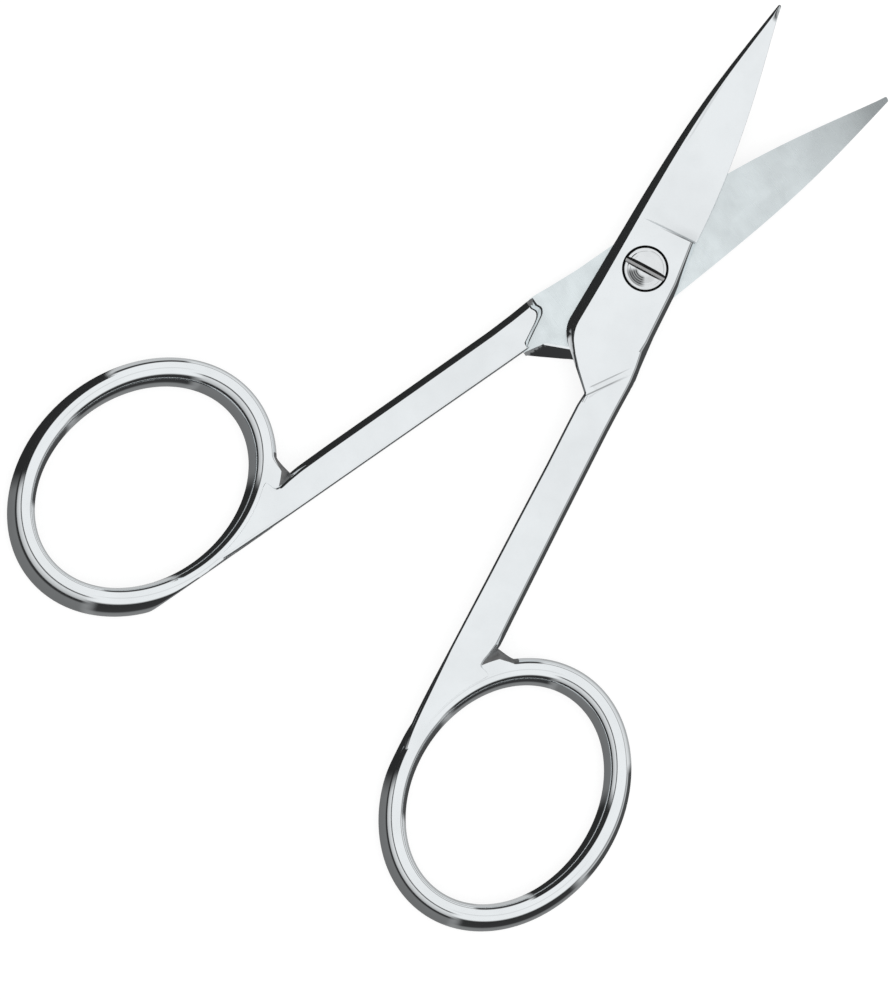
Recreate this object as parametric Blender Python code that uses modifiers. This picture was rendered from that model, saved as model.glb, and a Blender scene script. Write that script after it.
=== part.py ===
"""Curved manicure scissors, open as they lie on a table, with the screw head up.

Metres, +Z up. The pivot axis is Z, the table is z = 0 and the bisector of the two blades points along +Y.
Each half is drawn in its own plan: x runs from the blade's spine to its finger ring, y from the ring to the
tip, and height is measured from the ground inner face outwards. The lower half is the upper one turned over
about Y, but both blades curve up, so that one blade lies in the bend of the other.
"""

import math

import bmesh
import bpy
from mathutils.geometry import interpolate_bezier

# Stack of the two halves at the pivot
stack_height = 0.0036
ride_gap = 0.0002
rest_opening = math.radians(28.9)

# Blade, from the pivot axis to the tip
blade_length = 0.0270
tip_across = 0.0003
tip_radius = 0.0002
tip_thickness = 0.00042
cutting_edge_thickness = 0.00012
ricasso_reach = 0.0041
ricasso_fillet = 0.0009
spine_at_ricasso = 0.00333
edge_at_ricasso = 0.00315
spine_handle_shares = ((-0.101, 0.446), (-0.0656, 0.735))
edge_handle_shares = ((0.1204, 0.4185), (0.0833, 0.770))
hollow_power_share = 1.6

# Bend of the blades, and of the ground faces that slide on each other
bend_start = 0.0065
bend_radius = 0.0550

# Pivot plate and hip
pivot_edge = 0.0035
hip_across = 0.00426
hip_reach = 0.00829
hip_round = 0.0030
plate_end_reach = 0.01285
plate_end_across = 0.00025
plate_corner_reach = 0.0087
spine_bevel_width = 0.0011
spine_bevel_depth = 0.0010
tip_bevel_width = 0.0002
small_bevel = 0.00015
plate_edge_round = 0.00045
lower_hip_flare = 0.0009
lower_hip_set_back = 0.0005
widest_bevel_share = 0.35
bevel_crown_shares = (0.35, 0.4)

# Shank
closed_gap = 0.0003
shank_step = 0.0001
shoulder_width = 0.0037
shank_width_top = 0.00355
shank_width_ring = 0.00345
shank_top_reach = 0.0150
shank_end_reach = 0.0372
inner_edge_round = 0.00025
outer_edge_round = 0.0005
inner_edge_lean = 0.0004
upper_shank_shares = ((0.6, 0.5),)
lower_shank_shares = ((0.5, 0.4), (1.0, 0.8))
notch_shares = ((0.25, 0.42), (0.4, 0.75))

# Web, where the shank runs out along the finger ring
web_start_angle = math.radians(129.0)
web_end_angle = math.radians(196.0)
web_tail_inset = 0.0011
web_tail_drop = 0.0002
web_fade_power_share = 5.0
web_inner_round_share = 0.8
web_outer_round_share = 0.1

# Shoulder that the other half's hip stops beside
shoulder_low_reach = 0.0132
shoulder_high_reach = 0.00975
shoulder_run = 0.0008
shoulder_handle_shares = ((0.27, 0.24), (0.61, 0.88))
shoulder_end_slope_shares = (0.33, 0.2)
seat_depth = 0.0005
skin = 0.00004

# Finger ring
ring_across = 0.0103
ring_reach = 0.04915
hole_length = 0.0211
hole_width = 0.0167
ring_lean = math.radians(5.0)
bar_width = 0.00248
bar_height = 0.00332
bar_power_share = 2.5
notch_flare = 0.00105
flare_start_angle = math.radians(88.0)
flare_full_angle = math.radians(121.0)
flare_fall_angle = math.radians(137.0)
flare_end_angle = math.radians(162.0)
flare_power_share = 2.5

# Pivot screw
head_diameter = 0.0040
head_depth = 0.00065
head_dome = 0.00015
head_edge_round = 0.00015
dome_shares = (0.0, 0.3, 0.6, 0.85)
journal_diameter = 0.0023
thread_diameter = 0.0020
end_bevel = 0.00015
slot_width = 0.00055
slot_depth = 0.00040
slot_angle = math.radians(13.9)
running_clearance = 0.00008
head_clearance = 0.00012
seat_clearance = 0.0001
thread_clearance = 0.0001

# Cuts and facets
overrun = 0.0010
merge_distance = 0.000001
sharp_angle = math.radians(30.0)
ring_steps = 72
bar_points = 14
turned_steps = 48
corner_steps = 3
inner_steps = 4
outer_steps = 4
web_steps = 13
shoulder_steps = 8
blade_stations = 15
fillet_stations = 4
fillet_crowding_share = 0.6
tip_station_shares = (0.95, 0.6)
plate_stations = 5
hip_stations = 6
end_stations = 5
least_station_step = 0.00003

plate_thickness = (stack_height - ride_gap) / 2
ride_height = stack_height / 2
shank_half_height = stack_height / 2 - shank_step
inner_edge = closed_gap / 2
shoulder_cover_reach = shoulder_high_reach + shoulder_run


def clear_scene():
    """Removes whatever the file holds."""
    for obj in list(bpy.data.objects):
        bpy.data.objects.remove(obj, do_unlink=True)


def new_collection(name):
    collection = bpy.data.collections.new(name)
    bpy.context.scene.collection.children.link(collection)
    return collection


def steel(name, shade, roughness):
    """A bare steel of one grey shade."""
    material = bpy.data.materials.new(name)
    material.use_nodes = True
    surface = material.node_tree.nodes["Principled BSDF"]
    surface.inputs["Base Color"].default_value = (shade, shade, shade, 1.0)
    surface.inputs["Metallic"].default_value = 1.0
    surface.inputs["Roughness"].default_value = roughness
    return material


def between(start, end, share):
    return start + (end - start) * share


def points_between(start, end, shares):
    """Points at given shares of the way across and of the way along, from one point to another."""
    return [(between(start[0], end[0], across), between(start[1], end[1], along)) for across, along in shares]


def eased(share):
    """The share with a soft start and end, held at 0 before them and at 1 after."""
    share = min(1.0, max(0.0, share))
    return share**2 * (3 - 2 * share)


def across_at(outline, reach):
    """The x of an outline at one y. The outline's points run from the tip towards the ring."""
    for (x0, y0), (x1, y1) in zip(outline, outline[1:]):
        if y1 <= reach <= y0 and y0 > y1:
            return between(x0, x1, (y0 - reach) / (y0 - y1))
    return outline[0][0] if reach > outline[0][1] else outline[-1][0]


def bezier(start, handles, end, steps):
    corners = [(x, y, 0.0) for x, y in (start, *handles, end)]
    return [(point.x, point.y) for point in interpolate_bezier(*corners, steps + 1)]


def corner_arc(before, corner, after, radius, steps):
    """Points of the round that replaces one corner of an outline."""
    to_before = (before[0] - corner[0], before[1] - corner[1])
    to_after = (after[0] - corner[0], after[1] - corner[1])
    angle_before = math.atan2(to_before[1], to_before[0])
    angle_after = math.atan2(to_after[1], to_after[0])
    half = math.remainder(angle_after - angle_before, math.tau) / 2
    middle = angle_before + half
    away = radius / math.sin(abs(half))
    centre = (corner[0] + away * math.cos(middle), corner[1] + away * math.sin(middle))
    swing = math.copysign(math.pi / 2 - abs(half), half)
    points = []
    for step in range(steps + 1):
        angle = middle + math.pi + swing * (1 - 2 * step / steps)
        points.append((centre[0] + radius * math.cos(angle), centre[1] + radius * math.sin(angle)))
    return points


def spine_outline():
    """Blade spine, hip and the slanting end of the plate, on the side away from the ring."""
    ricasso = (-spine_at_ricasso, ricasso_reach)
    tip = (tip_across - tip_radius, blade_length)
    handles = points_between((0.0, 0.0), (blade_length, blade_length), spine_handle_shares)
    hip = (-hip_across, -hip_reach)
    end = (plate_end_across, -plate_end_reach)
    return [
        *reversed(bezier(ricasso, handles, tip, blade_stations)),
        *corner_arc(ricasso, hip, end, hip_round, hip_stations),
        end,
    ]


def edge_outline(end_shift):
    """Cutting edge, pivot edge and the slanting end of the plate, on the ring's side."""
    ricasso = (edge_at_ricasso, ricasso_reach)
    tip = (tip_across + tip_radius, blade_length)
    handles = points_between((0.0, 0.0), (blade_length, blade_length), edge_handle_shares)
    return [
        *reversed(bezier(ricasso, handles, tip, blade_stations)),
        (pivot_edge, 0.0),
        (pivot_edge, -plate_corner_reach + plate_edge_round),
        (shoulder_width, -plate_corner_reach),
        (shoulder_width, -plate_corner_reach - end_shift),
        (plate_end_across + small_bevel, -plate_end_reach - end_shift),
    ]


def stations(start, end, steps):
    """Evenly spaced places from one to the other, both included."""
    return [between(start, end, step / steps) for step in range(steps + 1)]


def leaf_stations(end_reach):
    """Every y at which the leaf has a section, from the tip to the end that the shank covers."""
    tip_start = blade_length - tip_radius
    fillet_end = ricasso_reach + ricasso_fillet
    hip_start = hip_reach - hip_round / 2
    hip_end = hip_reach + hip_round / 3
    marks = [tip_start + tip_radius * math.sin(math.pi / 2 * share) for share in tip_station_shares]
    marks += stations(tip_start, fillet_end, blade_stations)
    for step in range(1, fillet_stations + 1):
        marks.append(between(fillet_end, ricasso_reach, (step / fillet_stations) ** fillet_crowding_share))
    marks += stations(ricasso_reach - small_bevel, -hip_start, plate_stations)
    marks += stations(-hip_start, -hip_end, hip_stations)
    marks += [-plate_corner_reach + plate_edge_round, -plate_corner_reach]
    marks += stations(-hip_end, -end_reach, end_stations)
    marks.sort(reverse=True)
    return [mark for before, mark in zip([math.inf, *marks], marks) if before - mark > least_station_step]


def leaf_section(reach, spine, flare, set_back, outer_edge, ground_edge):
    """One closed section of blade or plate, as (x, height) points. Height 0 is the ground inner face."""
    along_blade = max(0.0, (reach - ricasso_reach) / (blade_length - ricasso_reach))
    thickness = between(plate_thickness, tip_thickness, along_blade)
    hollow = min(1.0, max(0.0, reach - ricasso_reach) / ricasso_fillet)
    hollow = math.sqrt(1 - (1 - hollow) ** 2)
    edge_height = between(thickness, cutting_edge_thickness, hollow)

    def left(height):
        return across_at(spine, reach + between(-set_back, flare, height / thickness))

    def right(height):
        return between(across_at(ground_edge, reach), across_at(outer_edge, reach), height / thickness)

    widest_bevel = (right(thickness) - left(thickness)) * widest_bevel_share
    past_hip = eased((-reach - hip_reach + hip_round / 4) / (hip_round / 2))
    bevel_width = between(spine_bevel_width, tip_bevel_width, along_blade)
    bevel_width = min(widest_bevel, between(bevel_width, small_bevel, past_hip))
    bevel_depth = bevel_width * spine_bevel_depth / spine_bevel_width
    edge_round = between(plate_edge_round, cutting_edge_thickness / 3, hollow)
    if reach < -plate_corner_reach:
        edge_round = small_bevel
    edge_round = min(widest_bevel, edge_round)

    points = [(between(left(0.0), right(0.0), step / inner_steps), 0.0) for step in range(inner_steps + 1)]
    for step in range(corner_steps):
        turn = math.pi / 2 * step / (corner_steps - 1)
        height = edge_height - edge_round * (1 - math.sin(turn))
        points.append((right(height) - edge_round * (1 - math.cos(turn)), height))
    bevel_start = left(thickness) + bevel_width
    for step in range(1, outer_steps + 1):
        share = 1 - step / outer_steps
        fall = (thickness - edge_height) * share**hollow_power_share
        points.append((between(bevel_start, right(edge_height) - edge_round, share), thickness - fall))
    crown_across, crown_down = bevel_crown_shares
    crown_height = thickness - bevel_depth * crown_down
    points.append((left(crown_height) + bevel_width * crown_across, crown_height))
    points.append((left(thickness - bevel_depth), thickness - bevel_depth))

    into_tip = max(0.0, (reach - blade_length + tip_radius) / tip_radius)
    tip_chord = math.sqrt(max(0.0, 1 - into_tip**2))
    return [(between(tip_across, x, tip_chord), height) for x, height in points]


def bend(distance):
    """How far the ground faces have risen at one distance from the pivot axis."""
    past = max(0.0, distance - bend_start)
    return bend_radius - math.sqrt(bend_radius**2 - past**2)


def to_frame(x, y, height, turn):
    """A point of a half's plan in the closed scissors. Turn is 1 for the upper half and -1 for the lower."""
    return (turn * x, y, ride_height + turn * (ride_gap / 2 + height))


def loft(name, sections, closed_path=False):
    """A solid whose skin runs through equal counts of points."""
    mesh = bmesh.new()
    rings = [[mesh.verts.new(point) for point in section] for section in sections]
    pairs = list(zip(rings, rings[1:]))
    if closed_path:
        pairs.append((rings[-1], rings[0]))
    for first, second in pairs:
        count = len(first)
        for index in range(count):
            after = (index + 1) % count
            mesh.faces.new((first[index], first[after], second[after], second[index]))
    if not closed_path:
        mesh.faces.new(rings[0])
        mesh.faces.new(rings[-1])
    return finished(name, mesh)


def finished(name, mesh):
    """Turns a bmesh into an object whose faces point out. Splitting bent quads keeps Booleans exact."""
    bmesh.ops.recalc_face_normals(mesh, faces=mesh.faces)
    bmesh.ops.triangulate(mesh, faces=mesh.faces)
    data = bpy.data.meshes.new(name)
    mesh.to_mesh(data)
    mesh.free()
    data.shade_smooth()
    data.set_sharp_from_angle(angle=sharp_angle)
    return bpy.data.objects.new(name, data)


def leaf(name, turn):
    """Blade, pivot plate and hip of one half, as one loft.

    The lower half's hip slants in towards its ground face, which leaves room for the upper half's shoulder.
    Behind the pivot only the upper half's ground face rises with the bend.
    """
    spine = spine_outline()
    flare = 0.0 if turn > 0 else lower_hip_flare
    set_back = 0.0 if turn > 0 else lower_hip_set_back
    shoulder_cover = shoulder_cover_reach - plate_corner_reach
    outer_edge = edge_outline(0.0)
    ground_edge = edge_outline(shoulder_cover)
    sections = []
    for reach in leaf_stations(plate_end_reach + max(flare, shoulder_cover / 2)):
        section = []
        for x, height in leaf_section(reach, spine, flare, set_back, outer_edge, ground_edge):
            px, py, pz = to_frame(x, reach, height, turn)
            if reach > 0 or (turn > 0 and height == 0):
                pz += bend(math.hypot(x, reach))
            section.append((px, py, pz))
        sections.append(section)
    return loft(name, sections)


def ring_radii(angle):
    """Distance from the ring's centre to its hole and to its outside, which flares out towards the notch."""
    lean = angle - (math.pi / 2 - ring_lean)
    half_length, half_width = hole_length / 2, hole_width / 2
    radii = []
    for along, across in (
        (half_length, half_width),
        (half_length + bar_width, half_width + bar_width),
    ):
        radii.append(1 / math.hypot(math.cos(lean) / along, math.sin(lean) / across))
    risen = min(1.0, max(0.0, (angle - flare_start_angle) / (flare_full_angle - flare_start_angle)))
    fallen = eased((angle - flare_fall_angle) / (flare_end_angle - flare_fall_angle))
    radii[1] += notch_flare * risen**flare_power_share * (1 - fallen)
    return radii


def finger_ring(name, turn):
    """Closed loft of the rounded bar round the finger hole."""
    sections = []
    for step in range(ring_steps):
        angle = math.tau * step / ring_steps
        hole, outside = ring_radii(angle)
        middle, half = (hole + outside) / 2, (outside - hole) / 2
        section = []
        for index in range(bar_points):
            turn_angle = math.tau * (index + 0.5) / bar_points
            sway, rise = math.cos(turn_angle), math.sin(turn_angle)
            across = math.copysign(abs(sway) ** (2 / bar_power_share), sway)
            up = math.copysign(abs(rise) ** (2 / bar_power_share), rise)
            radius = middle + half * across
            x = ring_across + radius * math.cos(angle)
            y = -ring_reach + radius * math.sin(angle)
            section.append((turn * x, y, ride_height + turn * up * bar_height / 2))
        sections.append(section)
    return loft(name, sections, closed_path=True)


def shank_outline():
    """The shank's outer side as (x, y), from under the plate to inside the ring's bar."""
    shoulder_end = (shoulder_width, -shoulder_cover_reach)
    top = (shank_width_top, -shank_top_reach)
    notch = (shank_width_ring, -shank_end_reach)
    points = [
        (pivot_edge - plate_edge_round, -plate_corner_reach + small_bevel),
        (shoulder_width + skin, -plate_corner_reach - skin),
        (shoulder_width + skin, -shoulder_cover_reach),
        *points_between(shoulder_end, top, upper_shank_shares),
        top,
        *points_between(top, notch, lower_shank_shares),
    ]
    crown = []
    for step in range(web_steps + 1):
        angle = between(web_start_angle, web_end_angle, step / web_steps)
        middle = sum(ring_radii(angle)) / 2
        crown.append((ring_across + middle * math.cos(angle), -ring_reach + middle * math.sin(angle)))
    return [*points, notch, *points_between(notch, crown[0], notch_shares), *crown]


def shank(name, turn):
    """Full-height bar from under the pivot plate to the ring, with a rounded section."""
    sections = []
    outline = shank_outline()
    web_start = -ring_reach + hole_length / 2
    web_end = outline[-1][1]
    for x, y in outline:
        in_web = min(1.0, max(0.0, (web_start - y) / (web_start - web_end)))
        fade = in_web**web_fade_power_share
        leaned = max(0.0, (-y - shank_top_reach) / (ring_reach - shank_top_reach))
        inside = inner_edge - inner_edge_lean * leaned + web_tail_inset * fade
        half_height = shank_half_height - web_tail_drop * fade
        inner_round = between(inner_edge_round, (x - inside) * web_inner_round_share, in_web**2)
        outer_round = between(outer_edge_round, (x - inside) * web_outer_round_share, math.sqrt(in_web))
        corners = (
            (x, -1, outer_round, -math.pi / 2),
            (x, 1, outer_round, 0.0),
            (inside, 1, inner_round, math.pi / 2),
            (inside, -1, inner_round, math.pi),
        )
        section = []
        for side, up, radius, start in corners:
            inward = radius if side == inside else -radius
            for step in range(corner_steps + 1):
                angle = start + math.pi / 2 * step / corner_steps
                px = side + inward + radius * math.cos(angle)
                pz = up * (half_height - radius) + radius * math.sin(angle)
                section.append((turn * px, y, ride_height + turn * pz))
        sections.append(section)
    return loft(name, sections)


def shoulder_cutter(name, turn):
    """Clears the other half's side above the S-shaped shoulder, with the shoulder's slope as its side."""
    low = (inner_edge, -shoulder_low_reach)
    high = (shoulder_width, -shoulder_high_reach)
    handles = points_between(low, high, shoulder_handle_shares)
    low_slope, high_slope = shoulder_end_slope_shares
    outline = [
        (low[0] - overrun, low[1] - overrun * low_slope),
        *bezier(low, handles, high, shoulder_steps),
        (high[0] + overrun, high[1] + overrun * high_slope),
        (high[0] + overrun, 0.0),
        (low[0] - overrun, 0.0),
    ]
    full_depth = 2 * shank_half_height
    sections = []
    for height in (seat_depth, -full_depth):
        shift = shoulder_run * -height / full_depth
        sections.append([to_frame(x + shift / 2, y - shift, height, turn) for x, y in outline])
    return loft(name, sections)


def turned(name, profile):
    """A solid of revolution about Z. The profile runs down its outer side, top to bottom."""
    data = bpy.data.meshes.new(name)
    edges = [(index, index + 1) for index in range(len(profile) - 1)]
    data.from_pydata([(radius, 0.0, height) for radius, height in profile], edges, [])
    obj = bpy.data.objects.new(name, data)
    screw = obj.modifiers.new("turn", "SCREW")
    screw.steps = turned_steps
    screw.render_steps = turned_steps
    screw.use_merge_vertices = True
    screw.merge_threshold = merge_distance
    return obj


def boolean(obj, other, operation):
    modifier = obj.modifiers.new(other.name, "BOOLEAN")
    modifier.object = other
    modifier.operation = operation
    modifier.solver = "EXACT"


def bore_profile():
    """Hole of the upper half, with the head's seat."""
    head_floor = stack_height - head_depth - seat_clearance
    seat_radius = head_diameter / 2 + head_clearance
    bore_radius = journal_diameter / 2 + running_clearance
    top = stack_height + overrun
    return [
        (0.0, top),
        (seat_radius, top),
        (seat_radius, head_floor),
        (bore_radius, head_floor),
        (bore_radius, 0.0),
        (0.0, 0.0),
    ]


def screw_profile():
    """Domed head, smooth journal and the end that is screwed into the lower half."""
    head_radius = head_diameter / 2
    under_head = stack_height - head_depth
    journal_end = ride_height
    rim = stack_height - head_edge_round / 2
    profile = [(head_radius * share, rim + head_dome * (1 - share**2)) for share in dome_shares]
    for step in range(corner_steps + 1):
        angle = math.pi / 2 * (1 - step / corner_steps)
        out = head_radius - head_edge_round * (1 - math.cos(angle))
        profile.append((out, rim - head_edge_round * (1 - math.sin(angle))))
    profile += [
        (head_radius, under_head),
        (journal_diameter / 2, under_head),
        (journal_diameter / 2, journal_end),
        (thread_diameter / 2, journal_end),
        (thread_diameter / 2, end_bevel),
        (thread_diameter / 2 - end_bevel, 0.0),
        (0.0, 0.0),
    ]
    return profile


def box(name, size, centre, angle):
    mesh = bmesh.new()
    bmesh.ops.create_cube(mesh, size=1.0)
    bmesh.ops.scale(mesh, vec=size, verts=mesh.verts)
    obj = finished(name, mesh)
    obj.location = centre
    obj.rotation_euler.z = angle
    return obj


def add_helper(obj, cutters):
    cutters.objects.link(obj)
    obj.hide_render = True
    obj.display_type = "WIRE"


def add_half(name, turn, parts, cutters, surface):
    """One forged half: leaf, shank and ring in one piece, turned to where it lies in the open scissors."""
    half = leaf(name, turn)
    parts.objects.link(half)
    half.data.materials.append(surface)
    half.rotation_euler.z = turn * rest_opening / 2
    bar = shank(name + "_shank", turn)
    shoulder = shoulder_cutter(name + "_shoulder", turn)
    ring = finger_ring(name + "_ring", turn)
    for helper in (bar, shoulder, ring):
        helper.parent = half
        add_helper(helper, cutters)
    boolean(bar, shoulder, "DIFFERENCE")
    boolean(half, bar, "UNION")
    boolean(half, ring, "UNION")
    return half


def main():
    clear_scene()
    parts = new_collection("manicure_scissors")
    cutters = new_collection("cutters")
    upper = add_half("upper_half", 1, parts, cutters, steel("polished_steel", 0.80, 0.10))
    lower = add_half("lower_half", -1, parts, cutters, steel("ground_steel", 0.76, 0.25))

    bore = turned("upper_bore", bore_profile())
    hole_radius = thread_diameter / 2 + thread_clearance
    hole = turned(
        "lower_hole",
        [(0.0, stack_height), (hole_radius, stack_height), (hole_radius, -overrun), (0.0, -overrun)],
    )
    for cutter, half in ((bore, upper), (hole, lower)):
        add_helper(cutter, cutters)
        boolean(half, cutter, "DIFFERENCE")

    screw = turned("pivot_screw", screw_profile())
    parts.objects.link(screw)
    screw.data.materials.append(steel("screw_steel", 0.72, 0.20))
    slot_top = stack_height + head_dome
    slot = box(
        "driver_slot",
        (head_diameter + overrun, slot_width, 2 * slot_depth),
        (0.0, 0.0, slot_top),
        slot_angle,
    )
    add_helper(slot, cutters)
    boolean(screw, slot, "DIFFERENCE")


main()
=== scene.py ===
"""Curved manicure scissors: two polished halves and their slotted pivot screw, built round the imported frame.

Each half is drawn in its own plan, as in the CAD: x runs from the blade's spine to its finger ring, y from
the ring to the tip, and height is measured from the ground inner face outwards. The lower half is the upper
one turned over about Y, but both blades curve up. Metres, +Z up.
"""

import math

import bpy
import numpy as np
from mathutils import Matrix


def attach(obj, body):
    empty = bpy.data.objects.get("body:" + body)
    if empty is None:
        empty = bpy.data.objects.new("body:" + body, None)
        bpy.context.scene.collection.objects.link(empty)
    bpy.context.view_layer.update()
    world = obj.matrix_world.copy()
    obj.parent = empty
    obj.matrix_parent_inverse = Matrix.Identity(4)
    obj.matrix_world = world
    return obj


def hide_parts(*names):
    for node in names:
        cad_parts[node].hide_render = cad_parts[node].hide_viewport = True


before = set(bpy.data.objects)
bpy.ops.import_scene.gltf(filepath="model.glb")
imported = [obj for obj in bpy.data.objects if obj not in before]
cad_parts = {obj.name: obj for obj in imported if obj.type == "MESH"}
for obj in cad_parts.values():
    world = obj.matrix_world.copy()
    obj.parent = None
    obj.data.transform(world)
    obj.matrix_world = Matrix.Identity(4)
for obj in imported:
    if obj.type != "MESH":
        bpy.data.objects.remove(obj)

bl_info = {
    "name": "Curved manicure scissors",
    "version": (1, 0, 0),
    "blender": (4, 5, 0),
    "location": "3D View > Sidebar > Scissors",
    "description": "Builds polished curved manicure scissors round their packed frame",
    "category": "Add Mesh",
}

MM = 0.001

# How far the halves lie open at rest
REST_OPENING = math.radians(28.9)

# Stack at the pivot
STACK_HEIGHT = 3.6 * MM
RIDE_GAP = 0.2 * MM
RIDE_HEIGHT = STACK_HEIGHT / 2
PLATE_THICKNESS = (STACK_HEIGHT - RIDE_GAP) / 2

# Blade and pivot plate
TIP_ACROSS = 0.3 * MM
TIP_RADIUS = 0.13 * MM
CUTTING_EDGE_THICKNESS = 0.12 * MM
RICASSO_REACH = 4.1 * MM
RICASSO_FILLET = 0.22 * MM
SPINE_AT_RICASSO = 3.33 * MM
EDGE_AT_RICASSO = 3.15 * MM
SPINE_HANDLE_SHARES = ((-0.0911, 0.5632), (-0.0651, 0.6752))
EDGE_HANDLE_SHARES = ((0.1235, 0.5407), (0.025, 0.9045))
FACE_START_SHARE = 0.06
FACE_POWER_SHARE = 1.1
# Bevel along spine and hip: reach in mm, shares of its width and depth, and how straight its section is
BEVEL_SHARES = (
    (4.1, 0.86, 1.0, 0.85), (-3.0, 1.0, 1.0, 0.85), (-7.3, 1.0, 1.0, 0.85), (-8.3, 0.95, 0.75, 1.5),
    (-9.1, 0.84, 0.62, 1.45), (-9.77, 0.60, 0.66, 1.4), (-10.82, 0.38, 0.80, 1.2), (-12.4, 0.28, 0.93, 1.0),
)
BEND_START = 6.5 * MM
BEND_RADIUS = 55.0 * MM
HIP = (-4.26 * MM, -8.29 * MM)
HIP_ROUND = 3.0 * MM
PLATE_END = (0.25 * MM, -12.85 * MM)
LOWER_PLATE_END = ((-0.355 * MM, -12.24 * MM), (-0.015 * MM, -13.9 * MM))
# Ring's side of the pivot plate in mm, at its outer face and at its ground face
PLATE_OUTER_EDGE = ((3.5, 0.0), (3.5, -6.0), (3.02, -9.45), (0.4, -12.85))
PLATE_GROUND_EDGE = ((3.5, 0.0), (3.5, -5.2), (3.66, -8.25), (3.77, -9.5), (3.77, -10.3), (0.4, -14.7))
# Width and depth of the rounded edge, which turns into the chamfer of the plate's end between two reaches
PLATE_EDGE_ROUND = (0.82 * MM, 1.5 * MM)
PLATE_END_CHAMFER = (0.68 * MM, 0.10 * MM)
PLATE_CORNER = (-6.5 * MM, -9.2 * MM)
# The lower hip's wall leans out: distance behind the pivot and lean at the outer face, in mm
LOWER_HIP_FLARE = ((10.3, 0.9), (13.5, 1.41))
LOWER_HIP_SET_BACK = 0.65 * MM
# Each hip is cut back along its ground face: cut and its height, then reaches where it is whole and where it
# ends. Cutting back the upper hip, and the shoulder under it, lets the halves close without touching
LOWER_HIP_LIP = (0.22 * MM, 0.07 * MM)
LOWER_HIP_LIP_END = (-11.5 * MM, -11.75 * MM)
UPPER_HIP_LIP = (0.75 * MM, 0.9 * MM)
UPPER_HIP_LIP_END = (-9.6 * MM, -8.0 * MM)
UPPER_SHOULDER_SET_BACK = 0.95 * MM
LEAF_END_REACH = 13.5 * MM
ROW_STEP = 0.02 * MM
WIDEST_BEVEL_SHARE = 0.35

# Shank, shoulder and web
INNER_EDGE = 0.15 * MM
SHANK_HALF_HEIGHT = 1.7 * MM
SHANK_INNER_ROUND = 0.25 * MM
SHANK_OUTER_ROUND = (0.72 * MM, 1.4 * MM)
# Outer side of each shank, in mm
UPPER_SHANK_LINE = (
    (3.45, -7.0), (3.64, -8.25), (3.75, -9.5), (3.74, -10.6), (3.66, -12.6), (3.60, -15.0), (3.53, -24.0),
    (3.50, -33.0), (3.50, -36.8), (3.30, -38.0), (3.0, -39.2), (3.1, -39.35), (3.6, -39.5),
)
LOWER_SHANK_LINE = (
    (3.45, -7.0), (3.64, -8.25), (3.75, -9.5), (3.70, -10.6), (3.55, -12.6), (3.44, -15.0), (3.35, -24.0),
    (3.29, -33.0), (3.22, -36.5), (3.1, -37.9), (2.9, -39.25), (3.0, -39.4), (3.5, -39.55),
)
# Inner side of each shank: reach back from the pivot and distance from the closing line, in mm
UPPER_INNER_LINE = (
    (9.0, 0.15), (12.6, 0.12), (13.4, -0.02), (16.0, -0.06), (20.0, -0.09), (26.0, -0.23), (32.0, -0.345),
    (40.0, -0.53), (44.0, -0.645), (48.0, -0.78),
)
LOWER_INNER_LINE = ((9.0, 0.11), (16.0, 0.05), (32.0, -0.01), (52.0, -0.09))
# Stretch of the ring's crest that ends the web's outer side, and how the side's corner sharpens on it
CROWN_START = math.radians(120.0)
CROWN_END = math.radians(196.0)
CROWN_GAP = 0.15 * MM
CROWN_CORNER_REACH = -38.6 * MM
CROWN_CORNER_RUN = 1.8 * MM
CROWN_CORNER_ROUND = 0.02 * MM
WEB_ROWS_REACH = -36.5 * MM
WEB_TAIL_INSET = 1.1 * MM
WEB_TAIL_DROP = 0.2 * MM
WEB_INNER_ROUND_SHARE = 0.8
SHANK_SMOOTHING = 0.2 * MM
# Foot of the shoulder in mm, from the closing line outwards
SHOULDER_FOOT = (
    (-0.3, -13.56), (-0.02, -13.12), (0.294, -12.62), (1.385, -11.2), (2.3, -9.94), (2.71, -9.73),
    (3.03, -9.62), (3.62, -9.82), (4.0, -10.0),
)
SHOULDER_SMOOTHING = 0.3 * MM
SHOULDER_RUN = 0.86 * MM
SHOULDER_LOW_RUN_SHARE = 0.2
SHOULDER_RUN_GROWTH = 5.8
SHOULDER_ACROSS = 3.7 * MM
# The upper shoulder is set back from here inwards, over the second length
SET_BACK_FROM = (3.5 * MM, 0.6 * MM)
# Painted shade: dark lines at the foot and the top of the shoulder, and a grey patch at its outer corner
SHOULDER_SHADE_SHARES = (0.36, 0.80)
SHOULDER_SHADE_CORNER = 3.1 * MM
# The shank starts inside the plate: start and end before the shoulder's foot, and depth below the plane
# between the halves
SLAB_START = 2.8 * MM
SLAB_END = 0.05 * MM
SLAB_DEPTH = 0.2 * MM
# Its corners shrink on the shoulder's slope, with the height over this depth below the same plane
CORNER_ROOM_DEPTH = 0.25 * MM
SMALLEST_CORNER = 0.03
# The flats begin just past the corners
FLAT_MARGIN = 1.05
# Rows follow the shoulder's foot and are straight from here on
STRAIGHT_REACH = -17.0 * MM

# Screw, its seat and its thread
HEAD_DEPTH = 0.65 * MM
HEAD_DOME = 0.22 * MM
HEAD_SUNK = 0.05 * MM
HEAD_EDGE_ROUND = 0.15 * MM
# Turned grooves of the head: first and last share of its radius, and depth
HEAD_GROOVES = ((0.68, 0.72, 0.015 * MM), (0.80, 0.86, 0.03 * MM))
SEAT_CLEARANCE = 0.1 * MM
SEAT_RIM = 0.05 * MM
JOURNAL_DIAMETER = 2.3 * MM
RUNNING_CLEARANCE = 0.08 * MM
THREAD_DIAMETER = 2.0 * MM
THREAD_CLEARANCE = 0.1 * MM
THREAD_PITCH = 0.4 * MM
THREAD_DEPTH = 0.2 * MM
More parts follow.
